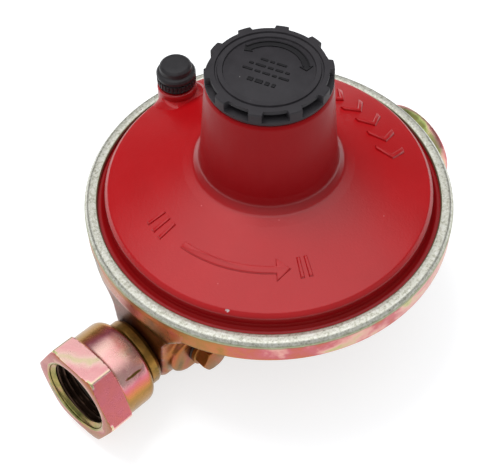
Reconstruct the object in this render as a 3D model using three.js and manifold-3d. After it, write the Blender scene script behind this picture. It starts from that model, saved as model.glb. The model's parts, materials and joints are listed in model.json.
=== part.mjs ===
// Low-pressure gas diaphragm regulator, built as separate fitted pieces.
// Units: millimetres. +Z is the spring tower's axis, gas flows along +X
// (union nut at -X, outlet boss at +X), the breather vent is toward +Y and the
// test port toward -Y. The origin is the centre of the hub's flat underside.
import * as THREE from 'three';
import { mergeVertices } from 'three/addons/utils/BufferGeometryUtils.js';
import Module from 'manifold-3d';

const wasm = await Module();
wasm.setup();

// ---------------------------------------------------------------- dimensions
const LIP_Z = 46.5;        // height of the rolled-over lip
const LIP_R = 48.0;        // inner edge of the rolled-over lip
const RIM_R = 51.7;        // outside of the body's rim
const AXIS_Z = 17.0;       // height of the gas way
const HUB_R = 25.0;        // hub under the bowl
const CHAMBER_R = 20.0;    // low-pressure chamber inside the hub
const NUT_AF = 27.0;       // union nut, across flats
// The union nut hangs loose on its nipple, so its axis is raised and turned a
// little. Its own stations are stated along X before it is tilted.
const NUT_FRONT = -73.4;   // union nut's mouth
const NUT_HEX_REAR = -65.8;
const NUT_REAR = -55.2;    // rear of the union nut's round collar
const NUT_RAISE = 4.82;    // degrees, mouth upward
const NUT_SIDE = 3.63;     // degrees, mouth toward -Y
const NUT_PIVOT = [-52.9, 0.5, 16.65];
const NUT_THREAD_R = 9.8;  // W21.8 x 1/14 left-hand, minor radius
const NECK_FACE = -49.8;   // inlet neck's end face
const NECK_HALF = 10.4;    // inlet neck's half width
const OUT_FACE = 64.8;     // outlet boss's end face
const OUT_R = 15.4;        // outlet boss's outside radius
const OUT_BORE_R = 10.4;   // outlet socket
const TOWER_TOP = 88.2;    // top of the cover's spring tower
const TOWER_BORE_R = 13.2;
const CAP_TOP = 92.4;
const CAP_R = 16.2;        // over the teeth and flange
const CAP_TEETH = 10;
const CAP_TEETH_TURN = 34.4;// degrees from +X to the first tooth
const VENT_R = 41.9;       // vent's distance from the tower axis
const VENT_TURN = 86.5;    // degrees from +X
const PORT_X = -37.5;      // test port on the neck's -Y side
const PORT_Z = 20.0;
const LEVER_X = 14.0;      // lever pivot
const LEVER_Z = 24.0;
const GAP = 0.3;           // stand-off between touching pieces

// ------------------------------------------------------------------- helpers
const rad = (d) => (d * Math.PI) / 180;

function solidFrom(positions, triangles) {
  let volume = 0;
  for (let i = 0; i < triangles.length; i += 3) {
    const [a, b, c] = [triangles[i], triangles[i + 1], triangles[i + 2]].map((k) => positions[k]);
    volume += a[0] * (b[1] * c[2] - b[2] * c[1]) - a[1] * (b[0] * c[2] - b[2] * c[0]) + a[2] * (b[0] * c[1] - b[1] * c[0]);
  }
  if (volume < 0) {
    for (let i = 0; i < triangles.length; i += 3) {
      const t = triangles[i + 1];
      triangles[i + 1] = triangles[i + 2];
      triangles[i + 2] = t;
    }
  }
  const g = new THREE.BufferGeometry();
  g.setAttribute('position', new THREE.Float32BufferAttribute(positions.flat(), 3));
  g.setIndex(triangles);
  return g;
}

// A closed profile [r, z] turned about +Z; points at r = 0 become poles.
function revolve(profile, seg) {
  const positions = [];
  const rows = profile.map(([r, z]) => {
    if (r < 1e-9) {
      positions.push([0, 0, z]);
      return [positions.length - 1];
    }
    const start = positions.length;
    for (let k = 0; k < seg; k++) {
      const a = (2 * Math.PI * k) / seg;
      positions.push([r * Math.cos(a), r * Math.sin(a), z]);
    }
    return Array.from({ length: seg }, (_, k) => start + k);
  });
  const tris = [];
  for (let i = 0; i < rows.length; i++) {
    const A = rows[i];
    const B = rows[(i + 1) % rows.length];
    if (A.length === 1 && B.length === 1) continue;
    for (let k = 0; k < seg; k++) {
      const n = (k + 1) % seg;
      if (A.length === 1) tris.push(A[0], B[k], B[n]);
      else if (B.length === 1) tris.push(A[k], B[0], A[n]);
      else tris.push(A[k], B[k], B[n], A[k], B[n], A[n]);
    }
  }
  return solidFrom(positions, tris);
}

// A polygon [u, v] drawn in XY and extruded along +Z from z0 to z1.
function prism(points, z0, z1) {
  const shape = new THREE.Shape(points.map(([u, v]) => new THREE.Vector2(u, v)));
  const g = new THREE.ExtrudeGeometry(shape, { depth: z1 - z0, bevelEnabled: false });
  g.translate(0, 0, z0);
  return g;
}

const alongX = (g) => g.rotateY(Math.PI / 2);   // local z becomes +X
const alongMinusY = (g) => g.rotateX(Math.PI / 2); // local z becomes -Y
const at = (g, x, y, z) => g.translate(x, y, z);

// A polygon [x, z] extruded along Y from y0 to y1.
function plateXZ(points, y0, y1) {
  return prism(points, -y1, -y0).rotateX(Math.PI / 2);
}
// A polygon [y, z] extruded along X from x0 to x1.
function plateYZ(points, x0, x1) {
  const g = prism(points, x0, x1);
  g.applyMatrix4(new THREE.Matrix4().set(0, 0, 1, 0, 1, 0, 0, 0, 0, 1, 0, 0, 0, 0, 0, 1));
  return g;
}
const box = (x0, x1, y0, y1, z0, z1) => prism([[x0, y0], [x1, y0], [x1, y1], [x0, y1]], z0, z1);

function hexagon(af, turn = 0) {
  const r = af / Math.sqrt(3);
  return Array.from({ length: 6 }, (_, k) => [r * Math.cos(rad(60 * k + turn)), r * Math.sin(rad(60 * k + turn))]);
}
function disc(r, seg) {
  return Array.from({ length: seg }, (_, k) => [r * Math.cos((2 * Math.PI * k) / seg), r * Math.sin((2 * Math.PI * k) / seg)]);
}

function M(g) {
  let h = g.clone();
  h.deleteAttribute('normal');
  h.deleteAttribute('uv');
  h = mergeVertices(h, 1e-5);
  return new wasm.Manifold(new wasm.Mesh({
    numProp: 3,
    vertProperties: new Float32Array(h.attributes.position.array),
    triVerts: new Uint32Array(h.index.array),
  }));
}
const unite = (first, ...rest) => rest.reduce((s, g) => s.add(M(g)), first instanceof wasm.Manifold ? first : M(first));
const cut = (first, ...rest) => rest.reduce((s, g) => s.subtract(M(g)), first instanceof wasm.Manifold ? first : M(first));
const common = (first, ...rest) => rest.reduce((s, g) => s.intersect(M(g)), first instanceof wasm.Manifold ? first : M(first));

function geometryOf(shape) {
  if (!(shape instanceof wasm.Manifold)) return M2(M(shape));
  return M2(shape);
}
function M2(m) {
  const mesh = m.getMesh();
  const g = new THREE.BufferGeometry();
  g.setAttribute('position', new THREE.BufferAttribute(new Float32Array(mesh.vertProperties), 3));
  g.setIndex(new THREE.BufferAttribute(new Uint32Array(mesh.triVerts), 1));
  g.computeVertexNormals();
  return g;
}

// A round wire wound as a closed-ended helix about +Z.
function coil(radius, wire, z0, z1, turns, perTurn, sides) {
  const steps = Math.round(turns * perTurn);
  const positions = [];
  const rise = z1 - z0;
  for (let i = 0; i <= steps; i++) {
    const t = i / steps;
    const a = 2 * Math.PI * turns * t;
    const z = z0 + rise * t;
    const slope = Math.atan2(rise, 2 * Math.PI * turns * radius);
    for (let s = 0; s < sides; s++) {
      const b = (2 * Math.PI * s) / sides;
      const out = wire * Math.cos(b);
      const up = wire * Math.sin(b);
      const tangential = -up * Math.sin(slope);
      positions.push([
        (radius + out) * Math.cos(a) - tangential * Math.sin(a),
        (radius + out) * Math.sin(a) + tangential * Math.cos(a),
        z + up * Math.cos(slope),
      ]);
    }
  }
  const tris = [];
  for (let i = 0; i < steps; i++) {
    for (let s = 0; s < sides; s++) {
      const n = (s + 1) % sides;
      const p = i * sides;
      const q = (i + 1) * sides;
      tris.push(p + s, q + s, q + n, p + s, q + n, p + n);
    }
  }
  for (let s = 1; s < sides - 1; s++) {
    tris.push(0, s, s + 1);
    const e = steps * sides;
    tris.push(e, e + s + 1, e + s);
  }
  return solidFrom(positions, tris);
}

function ringSection(r, z, section, n) {
  return Array.from({ length: n }, (_, k) => [r + section * Math.cos((2 * Math.PI * k) / n), z + section * Math.sin((2 * Math.PI * k) / n)]);
}

const group = new THREE.Group();
group.name = 'gas_diaphragm_regulator';
function add(name, shape, colour, roughness, metalness) {
  const mesh = new THREE.Mesh(geometryOf(shape), new THREE.MeshStandardMaterial({ color: colour, roughness, metalness }));
  mesh.name = name;
  group.add(mesh);
}

const CHROMATE = '#b58a55';
const STEEL = '#9a9ca0';
const BRASS = '#b08b4a';
const RUBBER = '#1f1f20';
const BLACK = '#3b393b';

// ---------------------------------------------------------------- lower body
// Die-cast hub and bowl whose rim is rolled over the cover's flange.
{
  const outer = revolve([
    [0, 0], [24, 0], [25, 1], [25.5, 9], [26.8, 17], [29.5, 23.5], [34, 29], [40, 33.4], [46, 36.4],
    [50, 38], [51.3, 38.8], [RIM_R, 39.6], [RIM_R, 44.6], [51.2, 45.7], [50.4, 46.3], [49.6, LIP_Z],
    [0, LIP_Z],
  ], 44);
  const cavity = revolve([
    [0, 5], [CHAMBER_R, 5], [CHAMBER_R, 28], [22, 30.6], [36, 36.3], [42, 38.6], [44.6, 40.6], [45.5, 41.4],
    [50.2, 41.4], [50.2, 45.4], [LIP_R, 45.4], [LIP_R, 46.1], [48.4, 46.6], [48.4, 48], [0, 48],
  ], 44);
  const under = [];
  for (let k = 0; k <= 8; k++) {
    const a = Math.PI + (Math.PI * k) / 8;
    under.push([(a < 1.5 * Math.PI ? NECK_HALF : NECK_HALF + 2) * Math.cos(a), AXIS_Z + NECK_HALF * Math.sin(a)]);
  }
  const neck = plateYZ([...under, [NECK_HALF + 1.2, 26], [NECK_HALF, 34], [NECK_HALF, 37], [-NECK_HALF, 37]], NECK_FACE, -15);
  // the neck spreads into the rim through hollow flanks
  let flare = M(plateYZ([
    [-10.3, 25], [-11, 29.5], [-12.8, 33], [-16.5, 36.2], [-21, 38], [-26, 39.2], [-26, 41.2],
    [26, 41.2], [26, 39.2], [21, 38], [16.5, 36.2], [12.8, 33], [11, 29.5], [10.3, 25],
  ], -54, -25));
  flare = flare.intersect(M(revolve([[0, 20], [51.5, 20], [51.5, 42], [0, 42]], 44)));
  flare = flare.intersect(M(plateXZ([[NECK_FACE, 20], [-20, 20], [-20, 42], [-51.6, 42], [-51.6, 38.9], [-50.6, 37], [NECK_FACE, 34.6]], -30, 30)));
  const outlet = at(alongX(revolve([[0, 15], [OUT_R, 15], [OUT_R, OUT_FACE - 0.8], [OUT_R - 0.8, OUT_FACE], [0, OUT_FACE]], 28)), 0, 0, AXIS_Z);
  const oval = [];
  for (let i = 0; i <= 20; i++) {
    const a = -0.5 * Math.PI + (Math.PI * i) / 10;
    oval.push([PORT_X - (i > 10 ? 3.5 : 0) + 7 * Math.cos(a), PORT_Z + 7 * Math.sin(a)]);
  }
  const portBoss = plateXZ(oval, -12.8, -2);
  let body = unite(outer, neck, outlet, portBoss).add(flare);
  const inletBore = at(alongX(revolve([[0, -60], [7.3, -60], [7.3, -36.8], [5.3, -36.8], [5.3, -15], [0, -15]], 24)), 0, 0, AXIS_Z);
  const outletBore = at(alongX(revolve([[0, 12], [6, 12], [6, 44], [OUT_BORE_R, 47], [OUT_BORE_R, 63.6], [11.6, 65.2], [11.6, 68], [0, 68]], 24)), 0, 0, AXIS_Z);
  const portBore = at(alongMinusY(revolve([[0, 3], [1.5, 3], [1.5, 8.2], [3.3, 8.4], [3.3, 16], [0, 16]], 14)), PORT_X, 0, PORT_Z);
  const screwHoles = [-3.3, 3.3].map((y) => at(revolve([[0, 1.4], [1.8, 1.4], [1.8, 8], [0, 8]], 12), 2.5, y, 0));
  body = body.subtract(M(cavity));
  body = cut(body, inletBore, outletBore, portBore, ...screwHoles);
  add('lower_body', body, CHROMATE, 0.4, 0.7);
}

// ----------------------------------------------------------------- top cover
// Painted conical cover with the spring tower and the vent boss.
const ventX = VENT_R * Math.cos(rad(VENT_TURN));
const ventY = VENT_R * Math.sin(rad(VENT_TURN));
{
  const shell = revolve([
    [44.3, 43.8], [49.9, 43.8], [49.9, 45.1], [46.7, 45.1], [45.9, 45.6], [45.6, 46.6], [45.5, 48.7],
    [45.1, 49.8], [44.2, 50.5], [42.8, 51.2], [23.2, 58.7], [21.2, 59.4], [19.8, 60.3], [18.9, 61.6],
    [18.5, 63.4], [16.4, 87.4], [15.8, TOWER_TOP], [13.8, TOWER_TOP], [TOWER_BORE_R, 87.6],
    [TOWER_BORE_R, 63], [15, 59], [19.5, 56.7], [41.6, 48.2], [43.2, 46.8], [43.6, 45],
  ], 44);
  const boss = at(revolve([[0, 46.2], [7.4, 46.2], [6.9, 49], [6.3, 51.5], [5.9, 54], [5.8, 55.9], [5.3, 56.4], [0, 56.4]], 20), ventX, ventY, 0);
  const keep = revolve([[0, 44], [47.6, 44], [47.6, 60], [0, 60]], 44);
  const ventBore = at(revolve([[0, 44], [2, 44], [2, 49.7], [3.2, 49.7], [3.2, 58], [0, 58]], 14), ventX, ventY, 0);
  const inside = revolve([[0, 40], [43.6, 40], [43.6, 45], [43.2, 46.8], [41.6, 48.2], [40, 48.8], [0, 48.8]], 44);
  const bossCut = M(boss).intersect(M(keep)).subtract(M(inside));
  add('top_cover', cut(M(shell).add(bossCut), ventBore), '#b8151d', 0.25, 0.0);
}

// ----------------------------------------------------------------- tower cap
{
  let cap = M(revolve([
    [0, CAP_TOP], [14.5, CAP_TOP], [14.9, 92], [14.9, 90], [CAP_R, 89.8], [CAP_R, 88.5], [12.5, 88.5],
    [12.5, 86.7], [11.3, 86.5], [11.3, 84.3], [12.5, 84.1], [12.5, 83], [10.4, 83], [10.4, 90.3], [0, 90.3],
  ], 28));
  for (let k = 0; k < CAP_TEETH; k++) {
    const tooth = plateXZ([[14, 89.2], [CAP_R, 89.2], [CAP_R, 92], [15.85, CAP_TOP], [14, CAP_TOP]], -1.75, 1.75);
    cap = cap.add(M(tooth.rotateZ(rad(CAP_TEETH_TURN + (360 * k) / CAP_TEETH))));
  }
  add('tower_cap', cap, BLACK, 0.55, 0.0);
}
add('cap_seal', revolve(ringSection(12.2, 85.4, 0.6, 6), 40), RUBBER, 0.7, 0.0);

// ----------------------------------------------- pressure setting, in the tower
add('adjusting_screw', cut(revolve([[0, 77], [12.3, 77], [12.8, 77.5], [12.8, 80.8], [12.3, 81.3], [0, 81.3]], 24), prism(hexagon(8), 70, 90)), '#c9c4b4', 0.5, 0.0);
add('upper_spring_seat', revolve([[0, 76.7], [12.3, 76.7], [12.3, 75.2], [8.6, 75.2], [8.6, 73.2], [7.6, 72.4], [0, 72.4]], 24), STEEL, 0.4, 0.8);
add('main_spring', coil(10.5, 1.1, 44.3, 73.8, 6, 12, 5), '#7d7f84', 0.35, 0.9);

// ------------------------------------------------------- diaphragm assembly
add('diaphragm', revolve([
  [3.6, 40.2], [31, 40.2], [34.2, 39.5], [38, 38.6], [41.2, 39.4], [43.4, 41.5], [45.8, 41.7], [49.8, 41.7],
  [49.8, 43.5], [45.8, 43.5], [44, 43.2], [41, 40.7], [38, 39.9], [34.6, 40.8], [31.2, 41.4], [3.6, 41.4],
], 28), RUBBER, 0.8, 0.0);
add('upper_diaphragm_plate', revolve([
  [3.6, 41.7], [29.4, 41.7], [30.4, 42.3], [30.6, 44], [29.6, 44], [29.2, 42.9], [13.4, 42.9], [13.0, 43.9], [12.4, 43.9], [12.2, 42.9], [3.6, 42.9],
], 28), STEEL, 0.4, 0.8);
add('lower_diaphragm_plate', revolve([[7.2, 39.9], [7.2, 38.9], [13.6, 38.7], [14.2, 39.9]], 24), STEEL, 0.4, 0.8);
{
  let stem = M(revolve([
    [0, 20.6], [2.6, 20.6], [3, 21], [3, 38.2], [6.2, 38.4], [6.6, 38.9], [6.6, 39.6], [5.8, 39.9], [3, 39.9],
    [3, 46], [2.4, 46.4], [2.4, 56.6], [1.9, 57.2], [0, 57.2],
  ], 14));
  stem = cut(stem, box(-4, 4, -1.6, 1.6, 22.1, 25.9));
  add('relief_stem', stem, BRASS, 0.35, 0.8);
}
add('relief_spring', coil(4.6, 0.5, 43.8, 51.0, 4, 9, 4), '#8b8d92', 0.35, 0.9);
{
  const nut = common(prism(hexagon(9), 51.9, 55.4), revolve([[0, 51.9], [4.7, 51.9], [5.3, 52.3], [5.3, 55], [4.7, 55.4], [0, 55.4]], 20));
  add('relief_nut', cut(nut, revolve([[0, 50], [2.75, 50], [2.75, 58], [0, 58]], 12)), BRASS, 0.35, 0.8);
}

// ------------------------------------------------------------ lever and valve
{
  const hub = plateXZ(disc(3.2, 16).map(([u, v]) => [LEVER_X + u, LEVER_Z + v]), -4, 4);
  const longArm = plateXZ([[-3.8, 23], [14, 23], [14, 25], [-3.8, 25]], -1.2, 1.2);
  const shortArm = plateXZ([[13, 13.8], [15, 13.8], [15, 24], [13, 24]], -4, 4);
  let lever = unite(hub, longArm, shortArm);
  lever = cut(lever, box(10, 18, -1.75, 1.75, 12, 19.4), at(plateXZ(disc(1.8, 12), -6, 6), LEVER_X, 0, LEVER_Z));
  add('lever', lever, STEEL, 0.4, 0.8);
}
add('lever_pin', at(plateXZ(disc(1.5, 12), -6.9, 6.9), LEVER_X, 0, LEVER_Z), '#b9bbbf', 0.25, 0.9);
{
  const base = box(-1.5, 18, -6.1, 6.1, 5.3, 6.7);
  const ears = [[-6.1, -4.6], [4.6, 6.1]].map(([a, b]) => plateXZ([[10, 5.6], [18, 5.6], [18, 24.5], [16.8, 27.2], [11.2, 27.2], [10, 24.5]], a, b));
  let bracket = unite(base, ...ears);
  bracket = cut(bracket, at(plateXZ(disc(1.8, 12), -8, 8), LEVER_X, 0, LEVER_Z), ...[-3.3, 3.3].map((y) => at(revolve([[0, 4], [1.8, 4], [1.8, 8], [0, 8]], 12), 2.5, y, 0)));
  add('lever_bracket', bracket, '#a7a9ad', 0.35, 0.8);
}
for (const [name, y] of [['bracket_screw_a', -3.3], ['bracket_screw_b', 3.3]]) {
  const screw = revolve([[0, 2], [1.4, 2], [1.4, 7], [2.5, 7], [2.5, 8.2], [1.8, 8.9], [0, 8.9]], 12);
  add(name, at(cutSlot(screw), 2.5, y, 0), '#b4b6ba', 0.3, 0.9);
}
function cutSlot(g) {
  return geometryOf(cut(g, box(-3, 3, -0.35, 0.35, 8.1, 10)));
}
const P = (profile, seg) => at(alongX(revolve(profile, seg)), 0, 0, AXIS_Z);
add('valve_plunger', P([
  [0, -10.4], [3.5, -10.4], [3.5, -12], [4.3, -12], [4.3, -7.4], [3.6, -6.8], [2.2, -6.8], [2.2, 10.4], [3, 10.6],
  [3, 11.9], [1.35, 11.9], [1.35, 16.1], [3, 16.1], [3, 17.3], [2.6, 17.6], [0, 17.6],
], 16), BRASS, 0.35, 0.8);
add('seat_pad', P([[0, -12.7], [2.9, -12.7], [3.2, -12.4], [3.2, -10.7], [0, -10.7]], 16), RUBBER, 0.7, 0.0);
{
  let nozzle = M(P([
    [1.6, -14.5], [2.4, -14.5], [3, -16], [4.65, -16], [4.65, -5], [6.2, -5], [6.2, -16], [7, -16.2], [7, -18.2],
    [5, -18.4], [5, -31.6], [3.8, -31.8], [3.8, -33.8], [5, -34], [5, -36.3], [3.2, -36.5], [1.6, -30],
  ], 20));
  nozzle = cut(nozzle, box(-14.2, -11, -8, 8, AXIS_Z - 2.2, AXIS_Z + 2.2), box(-9.6, -7, -8, 8, AXIS_Z - 1.4, AXIS_Z + 1.4));
  add('nozzle', nozzle, BRASS, 0.35, 0.8);
}
add('nozzle_oring', P(ringSection(4.55, -32.8, 0.42, 6), 28), RUBBER, 0.7, 0.0);

// ---------------------------------------------------------- inlet connection
add('inlet_nipple', P([
  [4, -66], [8, -66], [8.5, -65.5], [8.5, -63.8], [7, -63.4], [7, -53.9], [9.8, -53.9], [10.3, -53.4], [10.3, -50.6],
  [9.8, -50.1], [7, -50.1], [7, -44.2], [6.3, -43.5], [3.2, -43.5], [3.2, -58], [4, -59],
], 24), '#8e7a45', 0.35, 0.8);
{
  const turned = P([
    [7.9, NUT_REAR], [11.8, NUT_REAR], [12.8, NUT_REAR - 0.5], [13.2, NUT_REAR - 1.5], [13.2, NUT_HEX_REAR + 0.4],
    [13.6, NUT_HEX_REAR], [14.8, NUT_HEX_REAR - 0.1], [16.2, NUT_HEX_REAR - 0.9], [16.2, NUT_FRONT + 0.8], [14.6, NUT_FRONT],
    [11.4, NUT_FRONT], [10.9, NUT_FRONT + 0.8], [NUT_THREAD_R, NUT_FRONT + 1.9], [NUT_THREAD_R, -63], [9.4, -62.6], [7.9, -62.4],
  ], 32);
  const hexBlock = alongX(prism(hexagon(NUT_AF, 0), NUT_FRONT - 1, NUT_HEX_REAR));
  const round = P([[0, NUT_HEX_REAR - 0.2], [13.25, NUT_HEX_REAR - 0.2], [13.25, -50], [0, -50]], 32);
  const envelope = M(at(hexBlock.rotateX(rad(90 - 1.2)), 0, 0, AXIS_Z)).add(M(round));
  const straight = geometryOf(M(turned).intersect(envelope));
  straight.translate(-NUT_PIVOT[0], 0, -AXIS_Z).rotateY(rad(NUT_RAISE)).rotateZ(rad(NUT_SIDE)).translate(...NUT_PIVOT);
  add('union_nut', straight, CHROMATE, 0.35, 0.75);
}
add('inlet_gasket', P([[4.4, -68.2], [8.1, -68.2], [8.3, -68], [8.3, -66.3], [4.4, -66.3]], 24), '#2c241f', 0.7, 0.0);
add('inlet_filter', P([[0, -58.9], [2.2, -58.9], [3.7, -59.3], [3.7, -65.8], [2.9, -65.8], [2.9, -59.9], [0, -59.9]], 14), '#8c8a84', 0.6, 0.6);

// ------------------------------------------------------------- breather vent
{
  const cap = revolve([
    [0, 64.2], [4.2, 64.2], [4.6, 63.8], [4.6, 61.4], [5.4, 60.8], [5.7, 60.3], [5.7, 57.6], [2.9, 57.6], [2.9, 52.2],
    [1.7, 52.2], [1.7, 61.6], [0, 61.6],
  ], 20);
  add('vent_cap', at(cap, ventX, ventY, 0), '#2f2d2f', 0.5, 0.0);
}
add('vent_seal', at(revolve([[3.3, 56.7], [5.2, 56.7], [5.2, 57.3], [3.3, 57.3]], 16), ventX, ventY, 0), RUBBER, 0.7, 0.0);
{
  const holes = [[0, 0], [1.5, 0], [-1.5, 0], [0, 1.5], [0, -1.5]].map(([u, v]) => at(box(-0.35, 0.35, -0.35, 0.35, 49, 52), u, v, 0));
  add('vent_screen', at(geometryOf(cut(revolve([[0, 50], [2.9, 50], [2.9, 50.5], [0, 50.5]], 14), ...holes)), ventX, ventY, 0), '#a9aaad', 0.5, 0.7);
}

// ----------------------------------------------------------------- test port
{
  const turned = revolve([
    [0, 8.8], [2.5, 8.8], [2.9, 9.2], [2.9, 14], [4.8, 14], [4.8, 15], [4.6, 15], [4.6, 18.4], [4, 18.8], [0, 18.8],
  ], 20);
  const plug = M(turned).intersect(M(prism(hexagon(7.6, 0), 15, 20)).add(M(revolve([[0, 8], [7, 8], [7, 15], [0, 15]], 20))));
  add('test_plug', at(alongMinusY(geometryOf(plug)), PORT_X, 0, PORT_Z), '#a27f45', 0.35, 0.8);
}
add('test_plug_washer', at(alongMinusY(revolve([[3.2, 13.1], [4.8, 13.1], [4.8, 13.7], [3.2, 13.7]], 16)), PORT_X, 0, PORT_Z), '#4a4a4a', 0.5, 0.2);

export default group;
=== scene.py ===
import math
import random

import bmesh
import bpy
from mathutils import Matrix, Vector
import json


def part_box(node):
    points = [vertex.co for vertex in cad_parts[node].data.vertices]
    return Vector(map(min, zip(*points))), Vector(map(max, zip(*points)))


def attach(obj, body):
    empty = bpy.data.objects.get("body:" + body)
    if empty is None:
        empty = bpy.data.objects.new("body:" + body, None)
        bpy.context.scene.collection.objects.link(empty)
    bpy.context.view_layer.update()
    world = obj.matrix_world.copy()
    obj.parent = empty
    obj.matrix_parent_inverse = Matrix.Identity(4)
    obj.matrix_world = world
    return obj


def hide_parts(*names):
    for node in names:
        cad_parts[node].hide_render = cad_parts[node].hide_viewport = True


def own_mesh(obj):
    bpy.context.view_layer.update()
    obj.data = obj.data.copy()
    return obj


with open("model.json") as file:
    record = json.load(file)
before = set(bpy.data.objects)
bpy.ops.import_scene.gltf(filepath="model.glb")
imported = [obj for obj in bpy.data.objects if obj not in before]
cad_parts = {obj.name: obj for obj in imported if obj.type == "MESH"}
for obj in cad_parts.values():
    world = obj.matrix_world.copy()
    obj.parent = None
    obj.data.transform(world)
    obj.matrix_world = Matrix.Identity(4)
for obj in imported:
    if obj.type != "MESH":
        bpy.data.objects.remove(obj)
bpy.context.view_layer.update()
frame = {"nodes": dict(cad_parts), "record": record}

MM = 0.001
TAU = 2 * math.pi

# ------------------------------------------------------------------ anchors
# Positions come from the imported CAD nodes (converted to millimetres) where the nodes give them; the other stations
# are given as numbers here.


def mm_box(node):
    lo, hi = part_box(node)
    return lo / MM, hi / MM


body_lo, body_hi = mm_box("lower_body")
cover_lo, cover_hi = mm_box("top_cover")
cap_lo, cap_hi = mm_box("tower_cap")
nut_lo, nut_hi = mm_box("union_nut")
nip_lo, nip_hi = mm_box("inlet_nipple")
vent_lo, vent_hi = mm_box("vent_cap")
plug_lo, plug_hi = mm_box("test_plug")
washer_lo, washer_hi = mm_box("test_plug_washer")
seal_lo, seal_hi = mm_box("vent_seal")

LIP_Z = body_hi.z                        # top of the rolled lip
RIM_R = 51.7                             # outside of the rim
LIP_R = 48.0                             # inner edge of the lip
AXIS_Z = (nip_lo.z + nip_hi.z) / 2       # height of the gas way
OUT_FACE = body_hi.x
OUT_R = 15.4
TOWER_TOP = cover_hi.z
CAP_TOP = cap_hi.z
CAP_BOTTOM = 88.5
VENT = Vector(((vent_lo.x + vent_hi.x) / 2, (vent_lo.y + vent_hi.y) / 2, 0))
VENT_TOP = vent_hi.z
# the union nut's own stations along its axis, before it is tilted onto the record's swivel axis
NUT_FRONT, NUT_HEX_REAR, NUT_REAR = -73.4, -65.8, -55.2
NUT_DATUM = -62.9
PORT_X = (plug_lo.x + plug_hi.x) / 2
PORT_Z = (plug_lo.z + plug_hi.z) / 2


# ------------------------------------------------------------ mesh utilities
def link(name, me):
    o = bpy.data.objects.new(name, me)
    bpy.context.scene.collection.objects.link(o)
    return o


def mesh_object(name, verts, faces, sharp=35):
    """verts in millimetres in the row frame."""
    me = bpy.data.meshes.new(name)
    me.from_pydata([(x * MM, y * MM, z * MM) for x, y, z in verts], [], faces)
    me.validate()
    bm = bmesh.new()
    bm.from_mesh(me)
    bmesh.ops.recalc_face_normals(bm, faces=bm.faces)
    bm.to_mesh(me)
    bm.free()
    shade(me, sharp)
    return link(name, me)


def shade(me, sharp=35):
    me.shade_smooth()
    if sharp is not None and hasattr(me, "set_sharp_from_angle"):
        me.set_sharp_from_angle(angle=math.radians(sharp))


def rounded(points, n=6, closed=True):
    """A polyline of (a, b) or (a, b, fillet radius) with its marked corners rounded."""
    out = []
    count = len(points)
    for i, p in enumerate(points):
        r = p[2] if len(p) > 2 else 0
        if r <= 0 or (not closed and i in (0, count - 1)):
            out.append((p[0], p[1]))
            continue
        a = Vector(points[i - 1][:2]) - Vector(p[:2])
        b = Vector(points[(i + 1) % count][:2]) - Vector(p[:2])
        la, lb = a.length, b.length
        if la < 1e-6 or lb < 1e-6:
            out.append((p[0], p[1]))
            continue
        a.normalize()
        b.normalize()
        phi = math.acos(max(-1, min(1, a.dot(b))))
        if phi > math.pi - 0.02 or phi < 0.02:
            out.append((p[0], p[1]))
            continue
        d = min(r / math.tan(phi / 2), 0.48 * la, 0.48 * lb)
        rr = d * math.tan(phi / 2)
        bis = (a + b).normalized()
        c = Vector(p[:2]) + bis * (rr / math.sin(phi / 2))
        s, e = Vector(p[:2]) + a * d - c, Vector(p[:2]) + b * d - c
        a0 = math.atan2(s.y, s.x)
        da = (math.atan2(e.y, e.x) - a0 + math.pi) % TAU - math.pi
        for k in range(n + 1):
            t = a0 + da * k / n
            out.append((c.x + rr * math.cos(t), c.y + rr * math.sin(t)))
    return out


def frame_axis(axis, centre):
    """Maps local (u, v, w), w along the turning axis, into the row frame."""
    cx, cy, cz = centre
    if axis == "Z":
        return lambda u, v, w: (cx + u, cy + v, cz + w)
    if axis == "X":                       # w along +X
        return lambda u, v, w: (cx + w, cy + u, cz + v)
    return lambda u, v, w: (cx + u, cy - w, cz + v)   # w along -Y


def lathe(name, profile, seg=160, axis="Z", centre=(0, 0, 0), radius=None, sharp=35, turn=0.0, angles=None):
    """A closed profile of (r, w) turned about an axis. radius(r, w, theta) may reshape it."""
    place = frame_axis(axis, centre)
    angles = angles or [TAU * k / seg + turn for k in range(seg)]
    seg = len(angles)
    verts, rows = [], []
    for r, w in profile:
        if r < 1e-6:
            rows.append([len(verts)])
            verts.append(place(0, 0, w))
            continue
        rows.append(list(range(len(verts), len(verts) + seg)))
        for t in angles:
            q = r
            ww = w
            if radius:
                got = radius(r, w, t)
                q, ww = got if isinstance(got, tuple) else (got, w)
            verts.append(place(q * math.cos(t), q * math.sin(t), ww))
    faces = []
    for i in range(len(rows)):
        A, B = rows[i], rows[(i + 1) % len(rows)]
        if len(A) == 1 and len(B) == 1:
            continue
        for k in range(seg):
            n = (k + 1) % seg
            if len(A) == 1:
                faces.append((A[0], B[k], B[n]))
            elif len(B) == 1:
                faces.append((A[k], B[0], A[n]))
            else:
                faces.append((A[k], B[k], B[n], A[n]))
    return mesh_object(name, verts, faces, sharp)


def loft(name, rings, sharp=35):
    """Rings of equal length, capped at both ends."""
    verts = [p for ring in rings for p in ring]
    n = len(rings[0])
    faces = []
    for i in range(len(rings) - 1):
        for k in range(n):
            m = (k + 1) % n
            faces.append((i * n + k, i * n + m, (i + 1) * n + m, (i + 1) * n + k))
    faces.append(tuple(range(n))[::-1])
    faces.append(tuple(range((len(rings) - 1) * n, len(rings) * n)))
    return mesh_object(name, verts, faces, sharp)


def baked(o):
    """Replaces o's mesh by its evaluated mesh and clears its modifiers."""
    bpy.context.view_layer.update()
    dg = bpy.context.evaluated_depsgraph_get()
    me = bpy.data.meshes.new_from_object(o.evaluated_get(dg))
    o.modifiers.clear()
    o.data = me
    return o


def join(objects, name):
    bm = bmesh.new()
    for o in objects:
        bm.from_mesh(o.data)
    me = bpy.data.meshes.new(name)
    bm.to_mesh(me)
    bm.free()
    for o in objects:
        bpy.data.objects.remove(o)
    return link(name, me)


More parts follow.
